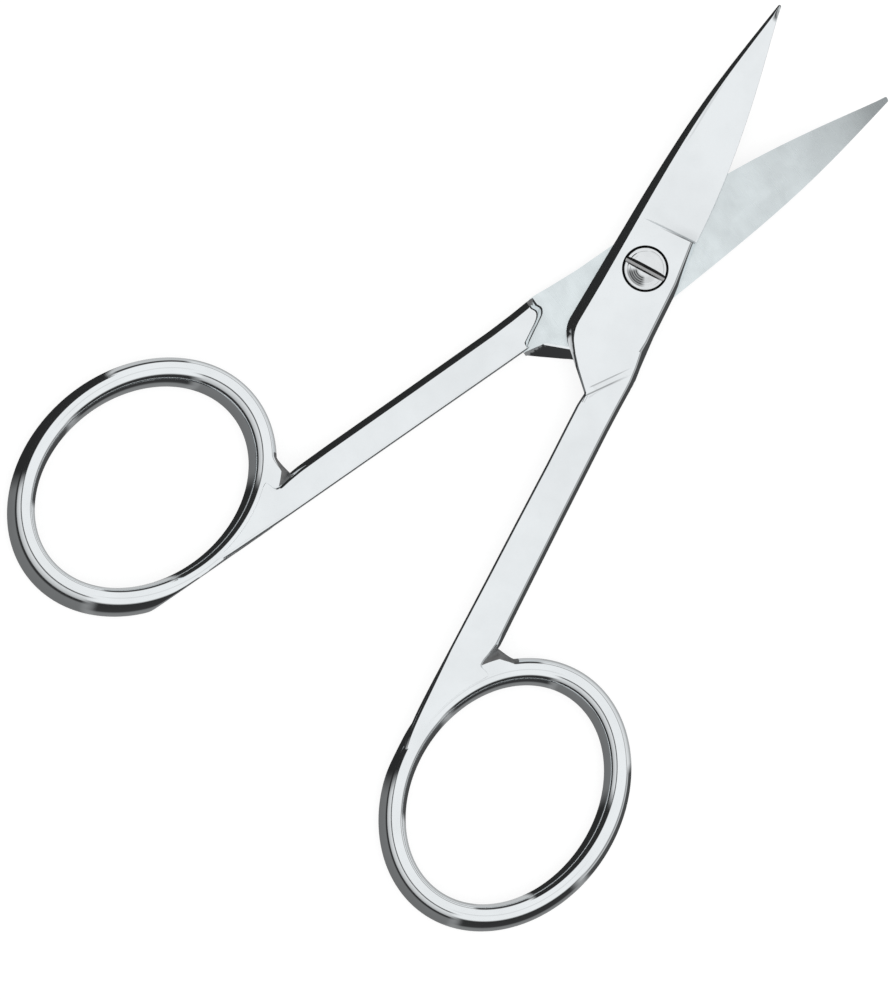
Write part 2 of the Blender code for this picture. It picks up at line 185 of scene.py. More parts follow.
# The thread starts just below the journal and fades over these lengths at its two ends
THREAD_START_GAP = 0.02 * MM
THREAD_FADES = (0.2 * MM, 0.15 * MM)
END_BEVEL = 0.15 * MM
# The first ring of the head's surface, and the part of the slot's floor whose side is painted dark as shade
HEAD_MIDDLE_SHARE = 0.02
SLOT_SHADE_SHARE = 0.3
# How far a cutter stands out of what it cuts
OVERRUN = 1.0 * MM

# How the upper ring differs from the mean of both, in place, reach and lean. The lower differs the other way
RING_MISMATCH = (0.09 * MM, -0.225 * MM, math.radians(1.45))
# How far the crest of each ring's bar lies towards the tips, beyond the bar's middle
UPPER_CREST_SHIFT = 0.47 * MM
LOWER_CREST_SHIFT = 0.69 * MM
# Flat inner side of each ring, beyond the closing line
UPPER_RING_FLAT = -0.76 * MM
LOWER_RING_FLAT = -0.10 * MM
RING_FLAT_SOFTNESS = 0.12 * MM
# Flare of the ring's outside towards the notch, and the angles between which it grows and fades
NOTCH_FLARE = 1.4 * MM
FLARE_GROWS = (math.radians(113.0), math.radians(120.0))
FLARE_FADES = (math.radians(137.0), math.radians(162.0))
FLARE_POWER = 1.3
# Painted shade on the notch's slope: angle from which, and share of the bar's half width beyond which, the
# steel is painted darker
NOTCH_SHADE_FROM = math.radians(111.0)
NOTCH_SHADE_SHARE = 0.5

# Painted shade in creases, as thin dark lines: start and end in a half's plan in mm, width, strength, fades in
# mm and soft side
CREASE_SHADES = (
    ((-0.5, 3.98), (3.1, 4.1), 0.09, 0.92, 2.4, 0.1, 0.16),
    ((0.23, -12.05), (2.9, -8.7), 0.09, 0.50, 0.3, 1.6, 0.0),
    ((0.2, -12.93), (2.9, -9.55), 0.12, 0.62, 0.1, 1.6, 0.0),
)
SOFT_SIDE_WIDTH = 1.1 * MM
# Painted shade: the ground blade is darker towards its tip, between two reaches
TIP_SHADE = 0.80
TIP_SHADE_REACH = (2.0 * MM, 25.0 * MM)
# Painted dark reflection on the screw's head: radii between which it grows and fades, angle of its middle,
# angles to its ends
REFLECTION_RADIUS = (0.6 * MM, 0.85 * MM, 1.5 * MM, 1.8 * MM)
REFLECTION_DIRECTION = math.radians(-97.0)
REFLECTION_ENDS = (math.radians(26.0), math.radians(50.0))
# Rings in the painted reflection: half the difference between dark and light, and their mean
REFLECTION_RINGS = (0.22, 0.75)
REFLECTION_RING_PITCH = 0.2 * MM
# Scratches: turn and spread of each set, and lines to the metre
SCRATCHES = ((0.35, 60.0), (-0.9, 90.0), (1.75, 75.0))
SCRATCH_COUNT = 9000.0
# Stretches of a noise pattern, which runs from 0 to 1, over which haze, scratches and grain grow
HAZE_LIMITS = (0.42, 0.75)
SCRATCH_LIMITS = (0.68, 0.76)
GRAIN_LIMITS = (0.3, 0.7)
# Shade and roughness that haze and grain add
HAZE_SHADE = 0.93
HAZE_ROUGHNESS_SHARE = 0.9
BAND_SHADES = (0.92, 1.04)
STREAK_SHADES = (0.98, 1.02)
GRAIN_ROUGHNESS = 0.06
# Depth and strength of the bumps
SCRATCH_BUMP = (0.0006 * MM, 0.25)
GRAIN_BUMP = (0.002 * MM, 0.3)
# Brightness and roughness of the darkened steels that paint shade in the seat, the slot and the corners
SHADE_STEELS = {"painted_shade_steel": (0.05, 0.6), "shaded_slot_steel": (0.38, 0.2), "corner_shade_steel": (0.2, 0.35)}

# Brightness that the steel mirrors, as stops of (angle from the zenith, brightness). First the open side,
# then each flag with its first and last angle round the horizon, from the picture's right, and its soft edge
OPEN_SIDE = ((0, 0.94), (60, 0.94), (64, 0.4), (70, 0.4), (75, 0.85), (115, 0.7), (130, 0.45), (180, 0.4))
FLAGS = (
    (85, 114, 3, ((0, 0.94), (55, 0.94), (64, 0.05), (84, 0.05), (95, 0.6), (180, 0.5))),
    (118, 180, 3, ((0, 0.94), (33, 0.94), (37, 0.8), (40, 0.025), (180, 0.025))),
    (172, 250, 8, (
        (0, 0.94), (33, 0.94), (36, 0.1), (42, 0.1), (46, 0.82), (66, 0.62), (74, 0.5), (78, 0.03),
        (87, 0.03), (93, 0.19), (180, 0.16),
    )),
    (258, 310, 8, (
        (0, 0.94), (8, 0.94), (10, 0.78), (16, 0.78), (19, 0.94), (60, 0.94), (70, 0.03), (116, 0.04),
        (128, 0.22), (180, 0.25),
    )),
    (318, 356, 4, (
        (0, 0.94), (66, 0.94), (74, 0.3), (84, 0.3), (89, 0.62), (97, 0.55), (103, 0.08), (180, 0.06),
    )),
)

# The studio's slightly cool tint, and its plain light on matte surfaces
STUDIO_TINT = (1.0, 1.005, 1.01)
STUDIO_LIGHT = (0.93, 0.93, 0.93, 1.0)
FLOOR_GLOW = 0.8
FLOOR_SIZE = 1.2
FLOOR_CENTRE = (0.0, -28.0 * MM, -0.02 * MM)
LAMP_SIZE = 0.4
LAMP_PLACE = (0.12, 0.02, 0.5)
LAMP_TURN = (math.radians(-5.0), math.radians(14.0), 0.0)
VIEW_CENTRE = (0.14 * MM, -27.9 * MM)

# Place of each finish in a half's list of materials, and in the screw's. In a half the last two, and in the
# screw all but the first, paint shade
POLISHED, GROUND, SHADE_STEEL, CORNER_SHADE = 0, 1, 2, 3
SCREW_SLOT, SCREW_SHADE = 1, 2

SHARP_ANGLE = math.radians(28.0)


class BladeSizes(bpy.types.PropertyGroup):
    """Sizes of both blades"""

    blade_length: bpy.props.FloatProperty(
        name="Blade length", description="From the pivot axis to the tip", default=27.0 * MM, unit="LENGTH",
        precision=5,
    )
    tip_thickness: bpy.props.FloatProperty(
        name="Tip thickness", description="Thickness of a blade at its tip", default=0.28 * MM, unit="LENGTH",
        precision=5,
    )
    bevel_width: bpy.props.FloatProperty(
        name="Spine bevel", description="Width of the bevel along the spine at the pivot", default=0.86 * MM,
        unit="LENGTH", precision=5,
    )
    bevel_depth: bpy.props.FloatProperty(
        name="Bevel depth", description="Depth of that bevel at the pivot", default=0.78 * MM, unit="LENGTH",
        precision=5,
    )
    tip_bevel_width: bpy.props.FloatProperty(
        name="Bevel at tip", description="Width of the bevel at the tip", default=0.22 * MM, unit="LENGTH",
        precision=5,
    )


class RingSizes(bpy.types.PropertyGroup):
    """Sizes of the finger rings"""

    across: bpy.props.FloatProperty(
        name="Ring centre across", description="From the closing line to the middle of the finger hole",
        default=9.88 * MM, unit="LENGTH", precision=5,
    )
    reach: bpy.props.FloatProperty(
        name="Ring centre reach", description="From the pivot back to the middle of the finger hole",
        default=49.125 * MM, unit="LENGTH", precision=5,
    )
    hole_length: bpy.props.FloatProperty(
        name="Hole length", description="Longer inside diameter of the finger hole", default=21.5 * MM,
        unit="LENGTH", precision=5,
    )
    hole_width: bpy.props.FloatProperty(
        name="Hole width", description="Shorter inside diameter of the finger hole", default=16.7 * MM,
        unit="LENGTH", precision=5,
    )
    lean: bpy.props.FloatProperty(
        name="Lean", description="Turn of the hole's length away from the shank", default=math.radians(5.45),
        subtype="ANGLE",
    )
    bar_width: bpy.props.FloatProperty(
        name="Bar width", description="Width of the ring's bar, seen from above", default=2.43 * MM,
        unit="LENGTH", precision=5,
    )
    bar_height: bpy.props.FloatProperty(
        name="Bar height", description="Height of the ring's bar", default=3.36 * MM, unit="LENGTH",
        precision=5,
    )
    bar_power: bpy.props.FloatProperty(
        name="Squareness", description="Power of the bar's section: 2 is an ellipse, more is squarer",
        default=2.1,
    )


class ScrewSizes(bpy.types.PropertyGroup):
    """Sizes of the pivot screw's head"""

    head_diameter: bpy.props.FloatProperty(
        name="Head diameter", description="Diameter of the screw head", default=3.97 * MM, unit="LENGTH",
        precision=5,
    )
    head_clearance: bpy.props.FloatProperty(
        name="Head clearance", description="Gap round the head in its seat", default=0.105 * MM,
        unit="LENGTH", precision=5,
    )
    slot_width: bpy.props.FloatProperty(
        name="Slot width", description="Width of the driver slot", default=0.70 * MM, unit="LENGTH",
        precision=5,
    )
    slot_depth: bpy.props.FloatProperty(
        name="Slot depth", description="Depth of the driver slot below the dome", default=0.4 * MM,
        unit="LENGTH", precision=5,
    )
    slot_angle: bpy.props.FloatProperty(
        name="Slot angle", description="Turn of the slot from +X", default=math.radians(12.7), subtype="ANGLE"
    )


class SteelFinish(bpy.types.PropertyGroup):
    """Colours and roughness of the steel"""

    polished_colour: bpy.props.FloatVectorProperty(
        name="Polished steel", description="Colour of the polished outside", subtype="COLOR", size=3, min=0.0,
        max=1.0, default=(0.86, 0.89, 0.905),
    )
    polished_roughness: bpy.props.FloatProperty(
        name="Polished roughness", description="Roughness of the polished outside", default=0.055, min=0.0,
        max=1.0,
    )
    ground_colour: bpy.props.FloatVectorProperty(
        name="Ground steel", description="Colour of the ground inner faces", subtype="COLOR", size=3, min=0.0,
        max=1.0, default=(0.785, 0.845, 0.86),
    )
    ground_roughness: bpy.props.FloatProperty(
        name="Ground roughness", description="Roughness of the ground inner faces", default=0.28, min=0.0,
        max=1.0,
    )
    screw_colour: bpy.props.FloatVectorProperty(
        name="Screw steel", description="Colour of the turned screw", subtype="COLOR", size=3, min=0.0,
        max=1.0, default=(0.8, 0.82, 0.83),
    )
    screw_roughness: bpy.props.FloatProperty(
        name="Screw roughness", description="Roughness of the turned screw", default=0.07, min=0.0, max=1.0,
    )


class StudioSettings(bpy.types.PropertyGroup):
    """Camera, floor and light"""

    lens: bpy.props.FloatProperty(
        name="Lens", description="Focal length in millimetres", default=400.0, min=20.0, max=500.0
    )
    view_height: bpy.props.FloatProperty(
        name="Picture height", description="Height of the picture at the scissors", default=91.74 * MM,
        unit="LENGTH", precision=5,
    )
    view_turn: bpy.props.FloatProperty(
        name="Picture turn", description="Turn of the picture's up direction from +Y",
        default=math.radians(40.9), subtype="ANGLE",
    )
    floor_colour: bpy.props.FloatVectorProperty(
        name="Floor", description="Colour of the floor", subtype="COLOR", size=3, min=0.0, max=1.0,
        default=(0.25, 0.25, 0.25),
    )
    key_power: bpy.props.FloatProperty(
        name="Key light", description="Power of the soft overhead lamp in watts", default=0.6, min=0.0,
        max=100.0,
    )


def between(start, end, share):
    """Straight blend: start + (end - start) * share."""
    return start + (end - start) * share


def eased(share):
    """Smooth step: 3s^2 - 2s^3 between 0 and 1, held outside."""
    share = np.clip(share, 0.0, 1.0)
    return share**2 * (3 - 2 * share)


def bezier(start, handles, end, count):
    """Cubic Bezier curve: four corners weighted by (1-t)^3, 3t(1-t)^2, 3t^2(1-t) and t^3."""
    t = np.linspace(0.0, 1.0, count)[:, None]
    weights = ((1 - t) ** 3, 3 * t * (1 - t) ** 2, 3 * t**2 * (1 - t), t**3)
    return sum(weight * np.array(corner) for weight, corner in zip(weights, (start, *handles, end)))


def handles_between(start, end, shares):
    """Bezier handles, given as shares of the way across and along from start to end."""
    return [(between(start[0], end[0], across), between(start[1], end[1], along)) for across, along in shares]


def corner_arc(before, corner, after, radius, count):
    """Arc of the given radius that touches both legs of a corner."""
    before, corner, after = (np.array(point) for point in (before, corner, after))
    first = (before - corner) / np.linalg.norm(before - corner)
    second = (after - corner) / np.linalg.norm(after - corner)
    half = math.acos(float(first @ second)) / 2
    middle = (first + second) / np.linalg.norm(first + second)
    centre = corner + middle * radius / math.sin(half)
    swing = math.pi / 2 - half
    across = (first - middle * float(first @ middle)) / math.sin(half)
    turn = np.linspace(swing, -swing, count)[:, None]
    return centre - middle * radius * np.cos(turn) + across * radius * np.sin(turn)


def across_at(outline, reach):
    """x of an outline at each y, where the outline's points run from the tip towards the ring."""
    return np.interp(reach, outline[::-1, 1], outline[::-1, 0])


def smoothed(line, count, reach):
    """Line resampled to even steps and averaged with a raised-cosine window that reaches to both sides."""
    lengths = np.concatenate([[0.0], np.cumsum(np.hypot(*np.diff(line, axis=0).T))])
    even = np.linspace(0.0, lengths[-1], count)
    smooth = np.stack([np.interp(even, lengths, line[:, axis]) for axis in (0, 1)], axis=1)
    window = np.hanning(2 * int(reach / (even[1] - even[0])) + 3)
    window /= window.sum()
    pad = len(window) // 2
    for axis in (0, 1):
        padded = np.pad(smooth[:, axis], pad, mode="reflect", reflect_type="odd")
        smooth[:, axis] = np.convolve(padded, window, mode="valid")
    return smooth


def spine_outline(sizes, turn):
    """Blade spine (a Bezier curve), hip (an arc) and slanting plate end, on the side away from the ring."""
    ricasso = (-SPINE_AT_RICASSO, RICASSO_REACH)
    length = sizes.blade_length
    tip = (TIP_ACROSS - TIP_RADIUS, length)
    handles = handles_between((0.0, 0.0), (length, length), SPINE_HANDLE_SHARES)
    return np.vstack(
        [
            bezier(ricasso, handles, tip, 200)[::-1],
            corner_arc(ricasso, HIP, PLATE_END, HIP_ROUND, 60),
            [PLATE_END] if turn > 0 else LOWER_PLATE_END,
        ]
    )


def edge_outline(sizes, plate):
    """Cutting edge (a Bezier curve), pivot edge and slanting plate end, on the ring's side."""
    ricasso = (EDGE_AT_RICASSO, RICASSO_REACH)
    length = sizes.blade_length
    tip = (TIP_ACROSS + TIP_RADIUS, length)
    handles = handles_between((0.0, 0.0), (length, length), EDGE_HANDLE_SHARES)
    return np.vstack([bezier(ricasso, handles, tip, 200)[::-1], np.array(plate) * MM])


def leaf_rows(sizes, end_reach):
    """Every y with a section: close together at the tip, at the ricasso and round the hip."""
    length = sizes.blade_length
    tip_start = length - TIP_RADIUS
    tip_turn = np.linspace(1.45, 0.0, 12)
    fillet_turn = np.linspace(math.pi / 2, 0.0, 26)
    rows = np.concatenate(
        [
            tip_start + TIP_RADIUS * np.sin(tip_turn),
            np.linspace(tip_start, RICASSO_REACH + RICASSO_FILLET, 170),
            RICASSO_REACH + RICASSO_FILLET * (1 - np.cos(fillet_turn)),
            np.linspace(RICASSO_REACH - ROW_STEP, HIP[1] + HIP_ROUND / 2, 60),
            np.linspace(HIP[1] + HIP_ROUND / 2, HIP[1] - HIP_ROUND / 2, 60),
            np.linspace(HIP[1] - HIP_ROUND / 2, -end_reach, 60),
        ]
    )
    rows = np.unique(np.round(rows, 8))[::-1]
    keep = np.concatenate([[True], -np.diff(rows) > ROW_STEP / 10])
    return rows[keep]


def bend(distance):
    """Rise of the ground faces: R - sqrt(R^2 - p^2), where p is the distance beyond the bend's start."""
    past = np.maximum(0.0, distance - BEND_START)
    return BEND_RADIUS - np.sqrt(BEND_RADIUS**2 - past**2)


def placed(x, y, height, turn, rise=0.0):
    """Plan and height to the shared frame at rest. Turn is 1 for the upper half and -1 for the lower."""
    px = turn * x
    pz = RIDE_HEIGHT + turn * height + rise
    angle = turn * REST_OPENING / 2
    cos, sin = math.cos(angle), math.sin(angle)
    return np.stack([px * cos - y * sin, px * sin + y * cos, pz + 0 * px], axis=-1)


def leaf_grid(sizes, turn):
    """Blade and pivot plate. Rows run from tip to hip, and each row goes once round its section.

    Columns: ground face, edge wall, edge round (a quarter ellipse), outer face (thickness less the fall
    (thickness - edge) s^p), spine bevel (depth times a*q + (1-a)*q^2) and spine wall. Each hip is cut back
    along the ground face, and the lower hip's wall leans.
    """
    spine = spine_outline(sizes, turn)
    outer_edge = edge_outline(sizes, PLATE_OUTER_EDGE)
    ground_edge = edge_outline(sizes, PLATE_GROUND_EDGE)
    reach = leaf_rows(sizes, LEAF_END_REACH)[:, None]
    lip, lip_height = UPPER_HIP_LIP if turn > 0 else LOWER_HIP_LIP
    lip_end = UPPER_HIP_LIP_END if turn > 0 else LOWER_HIP_LIP_END
    lip_share = eased((reach - lip_end[1]) / (lip_end[0] - lip_end[1]))
    lip, lip_height = lip * lip_share, between(LOWER_HIP_LIP[1], lip_height, lip_share)
    set_back = 0.0 if turn > 0 else LOWER_HIP_SET_BACK
    flare = 0.0 if turn > 0 else np.interp(-reach, *(np.array(LOWER_HIP_FLARE).T * MM))
    along = np.maximum(0.0, (reach - RICASSO_REACH) / (sizes.blade_length - RICASSO_REACH))
    thickness = between(PLATE_THICKNESS, sizes.tip_thickness, along)
    hollow = np.clip((reach - RICASSO_REACH) / RICASSO_FILLET, 0.0, 1.0)
    hollow = np.sqrt(1 - (1 - hollow) ** 2)
    edge_height = between(thickness, CUTTING_EDGE_THICKNESS, hollow)

    def left(height):
        lean = between(-set_back, flare, height / thickness)
        return across_at(spine, reach + lean - lip * np.maximum(0.0, 1 - height / lip_height))

    def right(height):
        share = height / thickness
        return between(across_at(ground_edge, reach), across_at(outer_edge, reach), share)

    widest = (right(thickness) - left(thickness)) * WIDEST_BEVEL_SHARE
    mark, *shares = np.array(BEVEL_SHARES).T
    width_share, depth_share, straight = (np.interp(-reach, -mark * MM, share) for share in shares)
    width = np.minimum(widest, between(sizes.bevel_width * width_share, sizes.tip_bevel_width, along))
    depth = width * depth_share * sizes.bevel_depth / sizes.bevel_width
    to_end = eased((PLATE_CORNER[0] - reach) / (PLATE_CORNER[0] - PLATE_CORNER[1]))
    round_width, round_depth = (
        np.minimum(widest, between(between(plate, CUTTING_EDGE_THICKNESS / 3, hollow), end, to_end))
        for plate, end in zip(PLATE_EDGE_ROUND, PLATE_END_CHAMFER)
    )

    share = np.linspace(0.0, 1.0, 17)[None, :]
    columns = [(between(left(0 * share), right(0 * share), share), 0 * share + 0 * reach)]
    ground_columns = share.shape[1] - 1
    share = np.linspace(0.0, 1.0, 5)[None, 1:-1]
    wall = (edge_height - round_depth) * share
    columns.append((right(wall), wall))
    angle = np.linspace(0.0, math.pi / 2, 14)[None, :]
    sine = between(np.sin(angle), 2 * angle / math.pi, to_end)
    cosine = between(1 - np.cos(angle), 2 * angle / math.pi, to_end)
    height = edge_height - round_depth * (1 - sine)
    columns.append((right(height) - round_width * cosine, height))
    share = np.linspace(1.0, 0.0, 32)[None, 1:]
    start = left(thickness) + width
    fall = np.maximum(0.0, (share - FACE_START_SHARE) / (1 - FACE_START_SHARE)) ** FACE_POWER_SHARE
    across = between(start, right(edge_height) - round_width, share)
    columns.append((across, thickness - (thickness - edge_height) * fall))
    share = np.linspace(0.0, 1.0, 15)[None, 1:]
    down = depth * (straight * share + (1 - straight) * share**2)
    skew = left(thickness - down) - left(thickness)
    columns.append((start - width * share + skew, thickness - down))
    share = np.linspace(1.0, 0.0, 5)[None, 1:]
    wall = between(lip_height, thickness - depth, share)
    columns.append((left(wall), wall))

    x = np.concatenate([column[0] for column in columns], axis=1)
    height = np.concatenate([column[1] + 0 * column[0] for column in columns], axis=1)
    into_tip = np.maximum(0.0, (reach - sizes.blade_length + TIP_RADIUS) / TIP_RADIUS)
    x = between(TIP_ACROSS, x, np.sqrt(np.maximum(0.0, 1 - into_tip**2)))
    y = reach + 0 * x
    ground = np.arange(x.shape[1])[None, :] <= ground_columns
    rises = (reach > 0) | (ground & (turn > 0))
    rise = np.where(rises, bend(np.hypot(x, y)), 0.0)
    finishes = np.where(np.arange(x.shape[1])[None, :] < ground_columns, GROUND, POLISHED)
    return placed(x, y, RIDE_GAP / 2 + height, turn, rise), finishes


def ring_place(sizes, turn):
    """Middle of the finger hole in the half's plan, and the lean of its length."""
    across, reach, lean = RING_MISMATCH
    return sizes.across + turn * across, -sizes.reach - turn * reach, sizes.lean + turn * lean


def crest_shift(turn):
    """How far the bar's crest lies from the bar's middle, along the frame's +Y, in the half's plan."""
    shift = UPPER_CREST_SHIFT if turn > 0 else LOWER_CREST_SHIFT
    return shift * math.sin(REST_OPENING / 2), shift * math.cos(REST_OPENING / 2)


def ring_radii(sizes, turn, angle):
    """Hole, middle and outside of the ring's bar as distances from the ring's middle.

    Each is an ellipse in polar form, 1 / hypot(cos/a, sin/b), and the outside has the flare f*s^p.
    """
    lean = angle - (math.pi / 2 - ring_place(sizes, turn)[2])
    radii = []
    for grow in (0.0, sizes.bar_width / 2, sizes.bar_width):
        length, width = sizes.hole_length / 2 + grow, sizes.hole_width / 2 + grow
        radii.append(1 / np.hypot(np.cos(lean) / length, np.sin(lean) / width))
    grown = np.clip((angle - FLARE_GROWS[0]) / (FLARE_GROWS[1] - FLARE_GROWS[0]), 0.0, 1.0)
    faded = eased((angle - FLARE_FADES[0]) / (FLARE_FADES[1] - FLARE_FADES[0]))
    return radii[0], radii[1], radii[2] + NOTCH_FLARE * grown**FLARE_POWER * (1 - faded)


def ring_grid(sizes, turn):
    """Bar round the finger hole: a superellipse |u|^p + |v|^p = 1 carried round the hole's oval.

    Its crest leans towards the tips, and its inner side is held at the flat by the smooth maximum
    (a + b + sqrt((a - b)^2 + s^2)) / 2.
    """
    angle = np.linspace(0.0, math.tau, 420, endpoint=False)[:, None]
    hole, middle, outside = ring_radii(sizes, turn, angle)
    spin = (np.arange(72)[None, :] + 0.5) * math.tau / 72
    sway, rise = np.cos(spin), np.sin(spin)
    power = 2 / sizes.bar_power
    across = np.sign(sway) * np.abs(sway) ** power
    up = np.sign(rise) * np.abs(rise) ** power
    radius = middle + np.where(across > 0, outside - middle, middle - hole) * across
    centre_x, centre_y = ring_place(sizes, turn)[:2]
    # Up is away from the ground face, which the lower half has on top
    shift_x, shift_y = crest_shift(turn)
    x = centre_x + radius * np.cos(angle) + turn * up * shift_x
    y = centre_y + radius * np.sin(angle) + turn * up * shift_y
    flat = UPPER_RING_FLAT if turn > 0 else LOWER_RING_FLAT
    x = (x + flat + np.sqrt((x - flat) ** 2 + RING_FLAT_SOFTNESS**2)) / 2
    # Painted shade: the notch's slope is darker steel on the side that faces up
    in_notch = (angle > NOTCH_SHADE_FROM) & (angle < FLARE_FADES[1])
    shade_mask = in_notch & (across > NOTCH_SHADE_SHARE) & (turn * up > 0)
    return placed(x, y, up * sizes.bar_height / 2, turn), np.where(shade_mask, CORNER_SHADE, POLISHED)


def shank_line(sizes, turn):
    """Outer side of shank and web: down the shank, then along the crest of the ring's bar."""
    line = np.array(UPPER_SHANK_LINE if turn > 0 else LOWER_SHANK_LINE) * MM
    angle = np.linspace(CROWN_START, CROWN_END, 90)
    middle = ring_radii(sizes, turn, angle)[1]
    centre_x, centre_y = ring_place(sizes, turn)[:2]
    shift_x, shift_y = crest_shift(turn)
    crown = np.stack(
        [centre_x + shift_x + middle * np.cos(angle), centre_y + shift_y + middle * np.sin(angle)], axis=1
    )
    crown = crown[crown[:, 1] < line[-1, 1] - CROWN_GAP]
    keep = np.concatenate([[True], np.maximum.accumulate(-crown[:-1, 1]) < -crown[1:, 1]])
    return smoothed(np.vstack([line, crown[keep]]), 900, SHANK_SMOOTHING)


def shoulder_line(x):
    """y of the shoulder's S-shaped foot at each x."""
    foot = smoothed(np.array(SHOULDER_FOOT) * MM, 200, SHOULDER_SMOOTHING)
    return np.interp(x, foot[:, 0], foot[:, 1])


def handle_grid(sizes, turn):
    """Shank and web. Rows follow the shoulder's S and straighten further down.

    Columns go round the section. Its corners are quarter ellipses: corner minus radius times (1 - cos) across
    and (1 - sin) up. The web draws in and drops by the fifth power of the share of its length, and its inner
    corner grows by the second power.
    """
    line = shank_line(sizes, turn)
    end_reach = -line[-1, 1]
    u = shank_columns()
    slab = np.array([SLAB_START, SLAB_START / 2, SLAB_END])[:, None]
    ramp = np.concatenate([np.linspace(0.0, 1.0, 30), [1.15]])[:, None]
    foot_across = between(INNER_EDGE, SHOULDER_ACROSS, u["across"])
    set_back = 0.0
    if turn > 0:
        set_back = UPPER_SHOULDER_SET_BACK * eased((SET_BACK_FROM[0] - foot_across) / SET_BACK_FROM[1])
    foot = shoulder_line(foot_across) - set_back
    run = SHOULDER_RUN * np.minimum(1.0, SHOULDER_LOW_RUN_SHARE + u["across"] * SHOULDER_RUN_GROWTH)
    blend_share = np.linspace(0.0, 1.0, 42)[1:, None]
    last = foot - ramp[-1] * run
    y = np.vstack(
        [
            foot + set_back + slab,
            foot - ramp * run,
            between(last, STRAIGHT_REACH, blend_share),
            np.linspace(STRAIGHT_REACH, WEB_ROWS_REACH, 50)[1:, None] + 0 * foot,
            np.linspace(WEB_ROWS_REACH, -end_reach, 220)[1:, None] + 0 * foot,
        ]
    )
    outer = np.interp(-y, -line[:, 1], line[:, 0])
    web_start = ring_place(sizes, turn)[1] + sizes.hole_length / 2
    in_web = np.clip((web_start - y) / (web_start + end_reach), 0.0, 1.0)
    fade = in_web**5
    inner_line = np.array(UPPER_INNER_LINE if turn > 0 else LOWER_INNER_LINE) * MM
    inside = np.interp(-y, inner_line[:, 0], inner_line[:, 1]) + WEB_TAIL_INSET * fade
    full = SHANK_HALF_HEIGHT - WEB_TAIL_DROP * fade
    top = between(-SLAB_DEPTH, full, eased((foot - y) / run))
    inner_round = between(SHANK_INNER_ROUND, (outer - inside) * WEB_INNER_ROUND_SHARE, in_web**2)
    on_crown = eased((CROWN_CORNER_REACH - y) / CROWN_CORNER_RUN)
    across_round, down_round = (between(size, CROWN_CORNER_ROUND, on_crown) for size in SHANK_OUTER_ROUND)
    room = np.clip((top + CORNER_ROOM_DEPTH) / SHANK_OUTER_ROUND[1], SMALLEST_CORNER, 1.0)
    room = np.where(u["upper"], room, 1.0)
    wall = np.where(u["inner"], inside, outer)
    x = wall + u["step_x"] * room * np.where(u["inner"], inner_round, across_round)
    flat_ends = inside + inner_round * FLAT_MARGIN, outer - across_round * FLAT_MARGIN
    flat = between(*flat_ends, u["across_flat"])
    x = np.where(u["flat"], flat, x)
    z = np.where(u["upper"], top, -full) + u["step_z"] * room * np.where(u["inner"], inner_round, down_round)
    step = (foot - y[:-1]) / run
    on_ramp = (step > -0.01) & (step < 0.99) & u["upper"]
    # Painted shade: nearly black lines at the shoulder's foot and top, and darker grey at its outer corner
    dark = on_ramp & ((step < SHOULDER_SHADE_SHARES[0]) | (step > SHOULDER_SHADE_SHARES[1]))
    shade_mask = on_ramp & (x[:-1] > SHOULDER_SHADE_CORNER)
    # The section is drawn with the ground face's side up, and heights count away from that face
    return placed(x, y, -z, turn), np.where(shade_mask, CORNER_SHADE, np.where(dark, SHADE_STEEL, POLISHED))


def shank_columns():
    """Once round a bar with four rounded corners: shares across, corner steps and the side each is on."""
    arc = np.linspace(0.0, math.pi / 2, 12)
    flat = np.linspace(0.0, 1.0, 14)
    parts = []
    # Upper side from the inner edge to the outer, then down the outer corner and wall, and back below
    for upper in (True, False):
        sign = 1.0 if upper else -1.0
        inner_x, inner_z = 1 - np.cos(arc), -sign * (1 - np.sin(arc))
        outer_x, outer_z = -(1 - np.sin(arc)), -sign * (1 - np.cos(arc))
        corner_in = [(x, z, True, False, 0.0) for x, z in zip(inner_x, inner_z)]
        top = [(0.0, 0.0, share < 0.5, True, share) for share in flat]
        corner_out = [(x, z, False, False, 1.0) for x, z in zip(outer_x, outer_z)]
        run = corner_in + top + corner_out
        run = [(*point, upper) for point in run]
        parts += run if upper else run[::-1]
    step_x, step_z, inner, is_flat, share, upper = (np.array(values)[None, :] for values in zip(*parts))
    across = np.where(is_flat, share, np.where(inner, 0.0, 1.0))
    return {
        "step_x": step_x, "step_z": step_z, "inner": inner, "flat": is_flat, "across_flat": share,
        "across": across, "upper": upper,
    }


